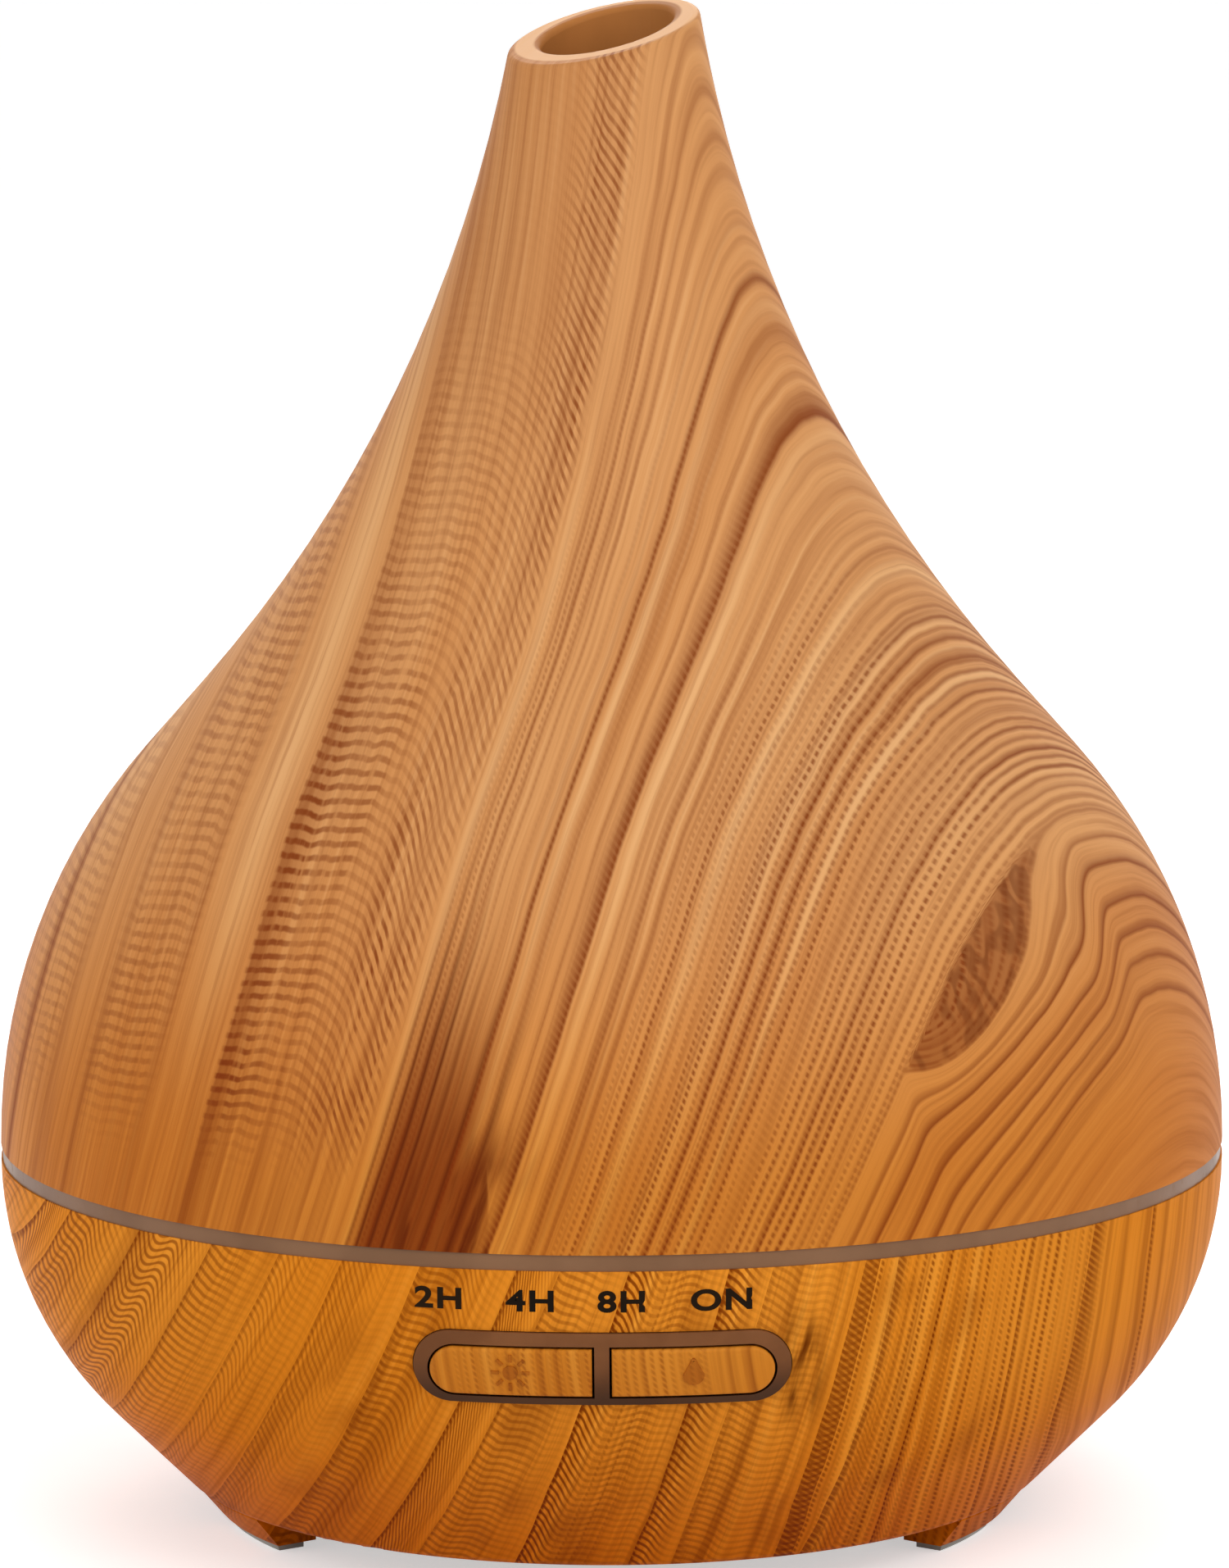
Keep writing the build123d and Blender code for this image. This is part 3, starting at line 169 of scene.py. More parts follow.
class NodeSheet:
    """One node tree, with short calls that add a node and give back its output."""

    COLUMN = 200.0
    ROW = 260.0
    PER_ROW = 10
    NOISE_ROUGHNESS = 0.55

    def __init__(self, tree: bpy.types.NodeTree) -> None:
        """Keeps the tree that the nodes go in."""
        self.tree = tree

    def node(self, kind: str, **settings: object) -> bpy.types.Node:
        """Adds a node.

        Args:
            kind: The node's type name.
            **settings: Properties set on the new node.

        Returns:
            The node.
        """
        count = len(self.tree.nodes)
        made = self.tree.nodes.new(kind)
        made.location = (count % self.PER_ROW * self.COLUMN, -(count // self.PER_ROW) * self.ROW)
        for name, value in settings.items():
            setattr(made, name, value)
        return made

    def fill(self, node: bpy.types.Node, feeds: Feeds) -> None:
        """Links wires into a node's inputs, or sets plain values on them.

        Args:
            node: The node.
            feeds: The wire or value of each input, by the input's name or number.
        """
        for label, source in feeds.items():
            if isinstance(source, Wire):
                self.tree.links.new(source.socket, node.inputs[label])
            else:
                node.inputs[label].default_value = source

    def wires(self, node: bpy.types.Node, labels: Iterable[Union[int, str]]) -> list[Wire]:
        """Some of a node's outputs."""
        return [Wire(self, node.outputs[label]) for label in labels]

    def add(self, kind: str, output: Union[int, str], feeds: Feeds, **settings: object) -> Wire:
        """Adds a node and feeds it.

        Args:
            kind: The node's type name.
            output: Name or number of the output that is wanted.
            feeds: The wire or value of each input.
            **settings: Properties set on the new node.

        Returns:
            The output.
        """
        made = self.node(kind, **settings)
        self.fill(made, feeds)
        return Wire(self, made.outputs[output])

    def math(self, operation: str, *values: Feed) -> Wire:
        """A Math node on one, two or three values."""
        return self.add("ShaderNodeMath", 0, dict(enumerate(values)), operation=operation)

    def vector(self, operation: str, *values: Feed, output: str = "Vector") -> Wire:
        """A Vector Math node on one or two vectors."""
        return self.add("ShaderNodeVectorMath", output, dict(enumerate(values)), operation=operation)

    def dot(self, first: Feed, second: Feed) -> Wire:
        """The dot product of two vectors."""
        return self.vector("DOT_PRODUCT", first, second, output="Value")

    def length(self, vector: Feed) -> Wire:
        """The length of a vector."""
        return self.vector("LENGTH", vector, output="Value")

    def parts(self, vector: Feed) -> list[Wire]:
        """The three parts of a vector."""
        made = self.node("ShaderNodeSeparateXYZ")
        self.fill(made, {0: vector})
        return self.wires(made, range(3))

    def joined(self, *parts: Feed) -> Wire:
        """A vector made of its parts."""
        return self.add("ShaderNodeCombineXYZ", 0, dict(enumerate(parts)))

    def place(self) -> Wire:
        """The place on the object, in metres."""
        return self.add("ShaderNodeTexCoord", "Object", {})

    def ramp(self, value: Feed, low: Feed, high: Feed, start: float, end: float) -> Wire:
        """A soft ramp over a value, which gives start at low and end at high."""
        feeds = {"Value": value, "From Min": low, "From Max": high, "To Min": start, "To Max": end}
        return self.add("ShaderNodeMapRange", "Result", feeds, interpolation_type="SMOOTHSTEP")

    def noise(self, place: Feed, stretch: Triple, octaves: float = 2.0) -> Wire:
        """Noise round 0.5, read at a place, with its waves per unit on each axis."""
        feeds = {"Scale": 1.0, "Detail": octaves, "Roughness": self.NOISE_ROUGHNESS}
        feeds["Vector"] = self.vector("MULTIPLY", place, stretch)
        return self.add("ShaderNodeTexNoise", "Fac", feeds, noise_dimensions="3D")

    def patches(self, place: Feed, kind: Patches) -> Wire:
        """Soft patches of noise, from 0 to 1, read at a place."""
        return self.noise(place, kind.stretch, kind.octaves).step(kind.low, kind.high)

    def chance(self, number: Feed) -> Wire:
        """A value from 0 to 1 that a whole number always draws alike."""
        return self.add("ShaderNodeTexWhiteNoise", "Value", {"W": number}, noise_dimensions="1D")

    def mix(self, share: Feed, first: Feed, second: Feed, blend: str = "MIX") -> Wire:
        """A colour with a share of a second one laid over it."""
        feeds = {0: share, 6: first, 7: second}
        return self.add("ShaderNodeMix", 2, feeds, data_type="RGBA", blend_type=blend)

    def bump(self, height: Wire, strength: float, distance: float) -> Wire:
        """A normal bumped by a height, with the bump's real depth in metres."""
        feeds = {"Height": height, "Strength": strength, "Distance": distance}
        return self.add("ShaderNodeBump", "Normal", feeds)


class GroupSheet(NodeSheet):
    """A node sheet for a shader node group that gives a colour, a roughness and a height."""

    OUTPUTS = {"Color": Kind.COLOUR, "Roughness": Kind.NUMBER, "Height": Kind.NUMBER}

    def __init__(self, name: str, inputs: dict[Kind, Iterable[str]]) -> None:
        """Makes the group and its sockets.

        Args:
            name: The group's name.
            inputs: Names of the inputs of each kind.
        """
        super().__init__(bpy.data.node_groups.new(name, "ShaderNodeTree"))
        labels = {label: kind for kind, row in inputs.items() for label in row}
        for side, row in (("INPUT", labels), ("OUTPUT", self.OUTPUTS)):
            for label, kind in row.items():
                self.tree.interface.new_socket(label, in_out=side, socket_type=kind.value)
        self.source = dict(zip(labels, self.wires(self.node("NodeGroupInput"), labels)))
        self.result = self.node("NodeGroupOutput")

    def looks(self, sheet: NodeSheet, finish: Union["WoodFilm", "MouldedSkin"]) -> Feeds:
        """Adds the group to a material.

        Args:
            sheet: The material's node sheet.
            finish: The finish, whose fields of the same names set the group's inputs.

        Returns:
            What the shader's inputs are fed with.
        """
        made = sheet.node("ShaderNodeGroup", node_tree=self.tree)
        for socket in made.inputs:
            if socket.name == "Vector":
                sheet.fill(made, {"Vector": sheet.place()})
            else:
                socket.default_value = getattr(finish, socket.name.lower().replace(" ", "_"))
        colour, rough, height = sheet.wires(made, self.OUTPUTS)
        return {
            "Base Color": colour,
            "Roughness": rough,
            "Normal": sheet.bump(height, finish.bump, finish.bump_depth),
            "Specular IOR Level": finish.shine,
        }


@dataclass(frozen=True)
class GrainRun:
    """Lines drawn over a run of depth.

    A line is its depth in the log, how far it fades before and after it, and its strength. A fade is
    the heights where it begins and is full, and the share of the lines that it takes.
    """

    low: float
    high: float
    lines: tuple[tuple[float, float, float, float], ...]
    fade: Union[Triple, None] = None


@dataclass(frozen=True)
class Area:
    """A soft area of the film: its steps over depth and height, and the share that it gives or takes."""

    depth: tuple[float, float]
    height: tuple[float, float]
    share: float = 1.0


class WoodGroup(GroupSheet):
    """The printed wood-grain film, cut flat-sawn at an angle to the front.

    Lengths are in millimetres. A pair is a soft step, from where it is 0 to where it is 1, except that
    the ribbons' share and shear are a slope and a rest. Three numbers are waves of noise per millimetre
    on each axis. Four are a zone of depth: where it starts, is full, begins to fade and stops.
    """

    INPUTS = {
        Kind.VECTOR: ("Vector", "Cut", "Streak Place", "Streak Reach"),
        Kind.NUMBER: (
            "Bend", "Lean", "Shift", "Knot", "Ripple", "Ribbons", "Stroke", "Lines",
            "Streak End", "Warm Low", "Warm High",
        ),
        Kind.COLOUR: ("Light", "Middle", "Dark", "Deep", "Warm"),
    }

    BEND_Z = 100.0
    BEND_RUN = 46.0
    LEAN_Z = 50.0
    LEAN_SPREAD = 100.0
    LEAN_LEAST = 0.15
    SWAYS = (((0.02, 0.02, 0.012), 1.6), ((0.12, 0.12, 0.05), 0.5))

    KNOT_EDGE = 68.0
    KNOT_PUSH = 6.6
    KNOT_TOP = 102.0
    KNOT_Z = 80.0
    KNOT_FOOT = 72.5
    KNOT_FLARE = 1.7
    KNOT_FADE = 24.0
    KNOT_SIDE = (-4.0, -16.0)
    KNOT_BEYOND = (-0.3, 0.3)
    HEART_RIM = (KNOT_EDGE + 0.4, KNOT_EDGE - 0.6)
    HEART_PUSH = (0.3, 1.2)
    CURL = (0.13, 0.13, 0.08)
    CURL_TURN = 40.0
    SWIRL = (-0.6, 1.0)
    SWIRL_SHARE = 0.45

    STROKE_BEND = (0.13, 0.01, 0.03)
    STROKE_SHAKE = (0.45, 0.05, 0.07)
    SHAKE_SHARE = 0.4
    STROKE_EDGE = (-0.4, 0.85)
    STROKE_SWAY = 9.0
    FOLD = 0.5
    FOLD_ROUND = 7.0
    FOLD_SHEAR = 1.5

    RIPPLE_MAIN = (-15.0, -14.2, 8.5, 11.0)
    RIPPLE_SIDES = (((-41.0, -36.0, -28.0, -23.0), 0.45), ((-70.0, -62.0, -50.0, -44.0), 0.4))
    RIPPLE_FOOT = (57.0, 72.0)
    RIPPLE_HIGH = Area((6.0, 1.0), (145.0, 172.0), 0.9)
    RIPPLE_WORN = Area((7.5, 3.0), (105.0, 145.0), 0.62)
    RIPPLE_THIN = (-11.5, -8.0, -3.0, 1.0)
    THIN_LOSS = 0.3
    RIBBON_PATCHES = Patches((0.2, 0.006, 0.012), 0.25, 0.6)
    WIDE_PATCHES = Patches((0.04, 0.04, 0.05), 0.2, 0.55)
    BROKEN_PATCHES = Patches((0.9, 0.03, 0.12), 0.28, 0.55)
    PATCHED = 0.75

    RIBBON_PITCH = 9.5
    RIBBON_SWAY = (0.11, 0.004, 0.004)
    RIBBON_REACH = 1.8
    RIBBON_SHARE = (0.6, 0.4)
    RIBBON_SHEAR = (1.7, 0.2)
    SHEAR_DRAW = 37.0
    RIBBON_STROKES = (1.2, 0.25)
    RIBBON_EDGES = (0.1, 0.03)
    RIBBON_RIGHT = (46.0, 18.0)
    RIBBON_BROAD = (10.0, 34.0)

    SOFT_PATCHES = Patches((0.45, 0.02, 0.03), 0.42, 0.72, 3.0)
    SOFT = Area((13.0, 5.0), (86.0, 60.0), 0.32)

    DASH_PER_MM = 7.2
    DASH_SHEAR = 0.9
    DASH_SWAY = 6.0
    DASH_SIDE = (-6.0, -30.0)
    FINE_PITCH = 1.08
    FINE_ZONE = (34.0, 42.0, 66.0, 69.0)
    FINE_TOP = (158.0, 118.0)
    FINE_WIDTH = 0.4
    FAINT_PITCH = 0.9
    FAINT_ZONE = (11.0, 13.0, 17.0, 20.0)
    FAINT_SHARE = 0.5
    EDGE_DASHES = 0.5
    FINE_DASHES = 0.8
    MIDDLE_DASHES = 0.18
    RIGHT_DASHES = 0.35
    MIDDLE_WORN = Area((32.5, 34.5), (112.0, 134.0), 0.6)
    RIBBON_LOSS = 0.5
    FINE_SHARE = 0.85
    LINE_PATCHES = Patches((0.3, 0.02, 0.03), -0.1, 0.42)

    STREAK_EDGE = (1.0, 0.35)
    STREAK_CUT = (0.0, -0.5)
    STREAK_RISE = (58.0, 64.0)
    STREAK_PATCHES = Patches((0.5, 0.02, 0.06), 0.4, 0.62, 3.0)
    STREAK_AREA = Area((15.0, 21.0), (71.0, 60.0))
    SHADE_WIDE = (11.0, 15.0, 27.0, 31.0)
    SHADE_WIDE_TOP = (73.0, 61.0)
    SHADE_SLIM = (11.0, 14.5, 22.5, 25.0)
    SHADE_TOP = (100.0, 60.0)

    TONE_PATCHES = Patches((0.05, 0.004, 0.006), 0.3, 0.75)
    TONE_SHARE = 0.5
    PALE_RISE = (60.0, 96.0)
    GRAIN = (1.6, 0.02, 0.022)
    GRAIN_OCTAVES = 3.0
    FIBRE = (0.42, 0.75)
    GLEAM = (0.46, 0.28)
    DUSK = Area((16.0, 6.0), (138.0, 172.0), 0.16)
    STAIN_PATCHES = Patches((0.08, 0.02, 0.05), 0.56, 0.7)
    # Painted shade on the right side of the base film: where it starts and is full, and its share.
    STAIN_SIDE = (42.0, 62.0)
    STAIN_SIDE_SHARE = 0.4
    FIBRE_SHARE = 0.32
    GLEAM_SHARE = 0.3
    RIPPLE_SHARE = 0.78
    STAIN_SHARE = 0.3
    SHADE_SHARE = 0.85
    HEART_SHARE = 0.6
    ROUGH_LEAST = 0.45
    ROUGH_LINES = 0.12
    ROUGH_FIBRE = 0.08
    DIP_LINES = 0.5
    DIP_RIPPLE = 0.3
    DIP_FIBRE = 0.2

    LEFT_LINES = GrainRun(
        -65.0,
        5.0,
        (
            (-56.0, 2.0, 1.2, 0.75), (-46.0, 1.8, 1.2, 0.25), (-38.0, 1.8, 1.0, 0.35),
            (-30.5, 1.4, 1.0, 0.20), (-25.5, 1.6, 1.2, 0.30), (-14.2, 0.3, 5.0, 0.60),
            (-8.4, 0.5, 1.8, 0.22), (-4.6, 0.5, 0.8, 0.12), (2.0, 1.5, 1.2, 0.15),
        ),
        (105.0, 140.0, 0.5),
    )
    MIDDLE_LINES = GrainRun(
        5.0,
        39.5,
        (
            (7.2, 1.6, 0.8, 0.20), (13.3, 0.5, 0.3, 0.45), (14.8, 0.5, 0.3, 0.70),
            (16.2, 0.6, 0.3, 0.50), (17.6, 0.5, 0.3, 0.40), (19.6, 0.5, 0.3, 0.35),
            (22.3, 0.6, 0.4, 0.95), (25.3, 1.6, 0.9, 0.38), (27.9, 0.5, 0.3, 0.30),
            (30.4, 1.9, 0.4, 0.95), (33.2, 0.8, 0.4, 0.25), (35.5, 1.2, 0.4, 0.65),
            (37.3, 0.8, 0.4, 0.40), (38.8, 0.5, 0.3, 0.30),
        ),
        (160.0, 186.0, 0.3),
    )
    RIGHT_LINES = GrainRun(
        39.5,
        69.0,
        (
            (41.0, 0.5, 0.3, 0.30), (43.6, 0.5, 0.3, 0.40), (46.4, 0.6, 0.3, 0.55),
            (49.1, 0.8, 0.4, 1.00), (51.0, 0.7, 0.4, 0.95), (54.4, 0.5, 0.3, 0.50),
            (56.9, 1.3, 0.6, 0.40), (59.0, 0.5, 0.3, 0.55), (61.2, 0.7, 0.3, 0.95),
            (65.4, 0.6, 0.3, 0.55), (67.9, 0.5, 0.3, 0.60),
        ),
        (110.0, 140.0, 0.6),
    )
    ARCHES = GrainRun(
        69.0,
        92.0,
        (
            (70.4, 0.7, 0.25, 0.60), (72.6, 0.9, 0.25, 0.85), (75.6, 0.9, 0.25, 0.85),
            (78.0, 0.8, 0.25, 0.80), (80.0, 0.6, 0.25, 0.70), (82.3, 0.7, 0.25, 0.70),
        ),
    )
    DEEP_LINES = GrainRun(
        10.0,
        32.0,
        (
            (12.0, 0.4, 0.3, 0.45), (13.4, 0.4, 0.3, 0.85), (15.1, 0.5, 0.4, 1.00),
            (16.8, 0.5, 0.4, 1.00), (18.6, 0.8, 0.4, 0.60), (20.1, 0.4, 0.3, 0.45),
            (21.9, 0.6, 0.4, 0.85), (25.4, 0.8, 1.0, 0.95),
        ),
    )
    LEFT_PALE = GrainRun(
        -70.0, 10.0, ((-51.0, 3.0, 3.0, 0.40), (-19.0, 6.0, 4.5, 0.75), (-9.3, 0.9, 0.9, 0.35))
    )
    RIGHT_PALE = GrainRun(
        9.0,
        70.0,
        (
            (11.6, 1.6, 1.4, 0.80), (20.8, 0.8, 0.8, 0.60), (23.6, 0.7, 1.2, 0.90),
            (32.0, 1.4, 1.2, 0.95), (34.4, 0.5, 0.5, 0.60), (36.4, 0.5, 0.5, 0.70),
            (42.3, 1.4, 1.6, 1.00), (50.0, 0.5, 0.5, 0.60), (47.6, 0.8, 0.8, 0.70),
            (53.0, 1.2, 1.0, 0.90), (60.0, 0.6, 0.5, 0.45), (63.6, 1.4, 1.2, 0.55),
        ),
        (120.0, 165.0, 0.55),
    )

    def __init__(self) -> None:
        """Builds the group once."""
        super().__init__("wood_grain_film", self.INPUTS)
        self.place_mm = self.vector("MULTIPLY", self.source["Vector"], TO_MM)
        self.right, _, self.height = self.parts(self.place_mm)
        self.across = self.dot(self.place_mm, self.vector("CROSS_PRODUCT", UP, self.source["Cut"]))
        self.depth, self.heart = self._depth()
        self.plank = self.joined(self.depth, self.across, self.height)
        self._colour()

    def _depth(self) -> tuple[Wire, Wire]:
        """How deep in the log a place is, which is the same all along one growth line.

        Returns:
            The depth in millimetres, and the mask of the knot's heart.
        """
        source = self.source
        fall = (self.BEND_Z - self.height) / self.BEND_RUN | 0.0
        lean = (self.height - self.LEAN_Z) * source["Lean"]
        lean = lean * (1.0 - self.right / self.LEAN_SPREAD | self.LEAN_LEAST)
        depth = self.dot(self.place_mm, source["Cut"]) + fall * fall * source["Bend"] + lean
        for stretch, reach in self.SWAYS:
            depth = depth + (self.noise(self.place_mm, stretch, octaves=1.0) - 0.5) * reach
        depth = depth + source["Shift"]
        past = depth - self.KNOT_EDGE
        foot = self.KNOT_FOOT - past * self.KNOT_FLARE
        push = self.ramp(self.height, foot, self.KNOT_Z, 0.0, 1.0)
        push = push * self.height.step(self.KNOT_TOP, self.KNOT_Z)
        push = push * past.step(self.KNOT_FADE, 0.0) * self.across.step(*self.KNOT_SIDE)
        push = push * self.KNOT_PUSH * source["Knot"]
        beyond = past.step(*self.KNOT_BEYOND)
        pushed = depth - push * beyond
        return pushed, beyond * pushed.step(*self.HEART_RIM) * push.step(*self.HEART_PUSH)

    def _wave(self, per_mm: Feed, fall: Wire, sway: float) -> Wire:
        """Fine strokes across the grain.

        Args:
            per_mm: Turn of the wave in radians per millimetre of height.
            fall: How far a stroke has fallen at each place, in millimetres.
            sway: How far noise bends the strokes, in radians.

        Returns:
            The strokes, from 0 to 1.
        """
        phase = (self.height + fall) * per_mm
        phase = phase + self.noise(self.plank, self.STROKE_BEND) * sway
        phase = phase + self.noise(self.plank, self.STROKE_SHAKE) * (self.SHAKE_SHARE * sway)
        return self.math("SINE", phase).step(*self.STROKE_EDGE)

    def _folded(self) -> Wire:
        """How far the cover's strokes fall: level at first, then down to the right past the fold."""
        past = self.math("SMOOTH_MAX", self.depth - self.FOLD, 0.0, self.FOLD_ROUND)
        return past * self.FOLD_SHEAR

    def _drawn(self, run: GrainRun) -> Wire:
        """Draws a run of lines.

        Args:
            run: The lines.

        Returns:
            Their strength, from 0 to 1.
        """

        def share(depth: float) -> float:
            """How far along the run a depth is, from 0 to 1."""
            return (depth - run.low) / (run.high - run.low)

        spots = [(0.0, 0.0)]
        for depth, before, after, strength in run.lines:
            if share(depth - before) > spots[-1][0]:
                spots.append((share(depth - before), 0.0))
            spots += [(share(depth), strength), (share(depth + after), 0.0)]
        spots.append((1.0, 0.0))
        curve = self.node("ShaderNodeFloatCurve")
        points = curve.mapping.curves[0].points
        while len(points) < len(spots):
            points.new(0.5, 0.5)
        for point, spot in zip(points, spots):
            point.location = spot
            point.handle_type = "VECTOR"
        curve.mapping.update()
        spread = {"Value": self.depth, "From Min": run.low, "From Max": run.high}
        self.fill(curve, {"Value": self.add("ShaderNodeMapRange", "Result", spread)})
        drawn = Wire(self, curve.outputs["Value"])
        if run.fade:
            low, high, loss = run.fade
            drawn = drawn * self.height.step(low, high).kept(loss)
        return drawn

    def _fine_lines(self, pitch: float, zone: tuple[float, float, float, float]) -> Wire:
        """Fine parallel lines, each with its own strength.

        Args:
            pitch: Distance between lines in millimetres.
            zone: The depths that they show at.

        Returns:
            Their strength, from 0 to 1.
        """
        count = self.depth / pitch
        off = self.math("ABSOLUTE", self.math("FRACT", count) - 0.5)
        strength = self.math("POWER", self.chance(self.math("FLOOR", count)), 0.5)
        return off.step(self.FINE_WIDTH, 0.0) * strength * self._zone(*zone)

    def _zone(self, start: float, full: float, fading: float, stop: float) -> Wire:
        """A stretch of depth with soft ends, from 0 to 1."""
        return self.depth.step(start, full) * self.depth.step(stop, fading)

    def _area(self, area: Area) -> Wire:
        """How far a place is inside an area, from 0 to 1."""
        return self.depth.step(*area.depth) * self.height.step(*area.height)

    def _spared(self, area: Area) -> Wire:
        """What an area leaves of 1 where it takes its share away."""
        return self._area(area).kept(area.share)

    def _ripple_zone(self) -> Wire:
        """Where the cover's ripple shows: a wide ribbon left of the middle and two faint ones beyond it."""
        shown = self._zone(*self.RIPPLE_MAIN) * self._spared(self.RIPPLE_HIGH)
        shown = shown * self._spared(self.RIPPLE_WORN) * self._zone(*self.RIPPLE_THIN).kept(self.THIN_LOSS)
        for zone, share in self.RIPPLE_SIDES:
            shown = shown | self._zone(*zone) * share
        uneven = self.patches(self.plank, self.RIBBON_PATCHES)
        uneven = uneven * self.patches(self.place_mm, self.WIDE_PATCHES)
        uneven = uneven * self.patches(self.plank, self.BROKEN_PATCHES)
        return shown * self.height.step(*self.RIPPLE_FOOT) * uneven.scaled(self.PATCHED, 1.0 - self.PATCHED)

    def _ribbons(self) -> tuple[Wire, Wire, Wire]:
        """Ribbons side by side, each with a sharp left edge and strokes of its own slant.

        Returns:
            Where the strokes show, the lines at the edges, and how far a stroke has fallen.
        """
        sway = self.noise(self.plank, self.RIBBON_SWAY, octaves=1.0) * self.RIBBON_REACH
        count = self.depth / self.RIBBON_PITCH + sway
        index = self.math("FLOOR", count)
        share = self.chance(index).scaled(*self.RIBBON_SHARE)
        shear = self.chance(index + self.SHEAR_DRAW).scaled(*self.RIBBON_SHEAR)
        part = self.math("FRACT", count)
        broad = self.math("ABSOLUTE", self.across).step(*self.RIBBON_BROAD)
        strokes = part.step(*self.RIBBON_STROKES) * share * self.right.step(*self.RIBBON_RIGHT) * broad
        edges = part.step(*self.RIBBON_EDGES) * share * broad
        return strokes, edges, part * self.RIBBON_PITCH * shear

    def _ripple(self) -> tuple[Wire, Wire]:
        """Strokes across the grain, as a film with or without ribbons has them.

        Returns:
            The strokes' strength, and the lines at the edges of ribbons.
        """
        source = self.source
        ribboned = source["Ribbons"]
        plain = ribboned.kept(1.0)
        soft = self.patches(self.plank, self.SOFT_PATCHES) * self._area(self.SOFT) * plain
        strokes, edges, slanted = self._ribbons()
        fall = self._folded() * plain + slanted * ribboned
        zone = self._ripple_zone() * plain + strokes * ribboned
        ripple = self._wave(source["Stroke"], fall, self.STROKE_SWAY) * zone * source["Ripple"]
        return ripple | soft * self.SOFT.share, edges * ribboned

    def _lines(self, edges: Wire) -> Wire:
        """All lines along the grain.

        Args:
            edges: The lines at the edges of ribbons.

        Returns:
            Their strength, from 0 to 1.
        """
        dots = self._wave(self.DASH_PER_MM, self.depth * self.DASH_SHEAR, self.DASH_SWAY)
        dots = dots * self.across.step(*self.DASH_SIDE)
        fine = self._fine_lines(self.FINE_PITCH, self.FINE_ZONE)
        fine = fine | self._fine_lines(self.FAINT_PITCH, self.FAINT_ZONE) * self.FAINT_SHARE
        fine = fine * dots.kept(self.FINE_DASHES) * self.height.step(*self.FINE_TOP)
        middle = self._drawn(self.MIDDLE_LINES) * self._spared(self.MIDDLE_WORN)
        middle = middle * dots.kept(self.MIDDLE_DASHES)
        right = self._drawn(self.RIGHT_LINES) * dots.kept(self.RIGHT_DASHES)
        drawn = self._drawn(self.LEFT_LINES) | self._drawn(self.ARCHES) | (middle | right)
        drawn = drawn * self.source["Ribbons"].kept(self.RIBBON_LOSS) | edges * dots.kept(self.EDGE_DASHES)
        drawn = drawn * self.patches(self.plank, self.LINE_PATCHES)
        return (fine * self.FINE_SHARE | drawn) * self.source["Lines"]

    def _streaks(self) -> tuple[Wire, Wire]:
        """The dark streaks near the foot of a film.

        Returns:
            The shade under the streaks, and the streaks.
        """
        source = self.source
        away = self.vector("SUBTRACT", self.place_mm, source["Streak Place"])
        near = self.length(self.vector("DIVIDE", away, source["Streak Reach"])).step(*self.STREAK_EDGE)
        ended = (self.right - source["Streak End"]).step(*self.STREAK_CUT)
        ended = ended | self.height.step(*self.STREAK_RISE)
        streaks = self.patches(self.plank, self.STREAK_PATCHES) * self._area(self.STREAK_AREA)
        streaks = streaks | self._drawn(self.DEEP_LINES)
        shade = self._zone(*self.SHADE_WIDE) * self.height.step(*self.SHADE_WIDE_TOP)
        shade = near * ended * (shade | self._zone(*self.SHADE_SLIM))
        return shade * self.height.step(*self.SHADE_TOP), streaks * near * ended

    def _colour(self) -> None:
        """Mixes the colours and sets the group's outputs."""
        source = self.source
        pale = self._drawn(self.LEFT_PALE) * self.height.step(*self.PALE_RISE)
        pale = pale | self._drawn(self.RIGHT_PALE)
        tone = self.patches(self.plank, self.TONE_PATCHES)
        grain = self.noise(self.plank, self.GRAIN, self.GRAIN_OCTAVES)
        fibre = grain.step(*self.FIBRE)
        ripple, edges = self._ripple()
        lines = self._lines(edges)
        shade, streaks = self._streaks()
        curl = self.math("SINE", self.noise(self.place_mm, self.CURL) * self.CURL_TURN)
        swirl = self.heart * curl.step(*self.SWIRL) * self.SWIRL_SHARE
        stain_and_side_shade = self.patches(self.plank, self.STAIN_PATCHES)
        # Stain patches on the base film, with a painted shade that darkens its right side.
        stain_and_side_shade = (stain_and_side_shade | self.right.step(*self.STAIN_SIDE) * self.STAIN_SIDE_SHARE) * source["Ribbons"]
        colour = self.mix(tone * self.TONE_SHARE | pale, source["Middle"], source["Light"])
        for share, laid in (
            (fibre * self.FIBRE_SHARE, "Dark"),
            (grain.step(*self.GLEAM) * self.GLEAM_SHARE, "Light"),
            (self._area(self.DUSK) * self.DUSK.share, "Dark"),
            (ripple * self.RIPPLE_SHARE, "Dark"),
            (stain_and_side_shade * self.STAIN_SHARE, "Dark"),
            (lines, "Dark"),
            (shade * self.SHADE_SHARE, "Dark"),
            (self.heart * self.HEART_SHARE, "Dark"),
            (streaks | swirl, "Deep"),
        ):
            colour = self.mix(share, colour, source[laid])
        # The colour is multiplied darker and more orange towards the bottom of each film.
        warm = self.ramp(self.height, source["Warm Low"], source["Warm High"], 1.0, 0.0)
        rough = lines * self.ROUGH_LINES + fibre * self.ROUGH_FIBRE
        dip = lines * self.DIP_LINES + ripple * self.DIP_RIPPLE + fibre * self.DIP_FIBRE
        outputs = {
            "Color": self.mix(warm, colour, source["Warm"], "MULTIPLY"),
            "Roughness": rough + self.ROUGH_LEAST,
            "Height": 1.0 - dip,
        }
        self.fill(self.result, outputs)


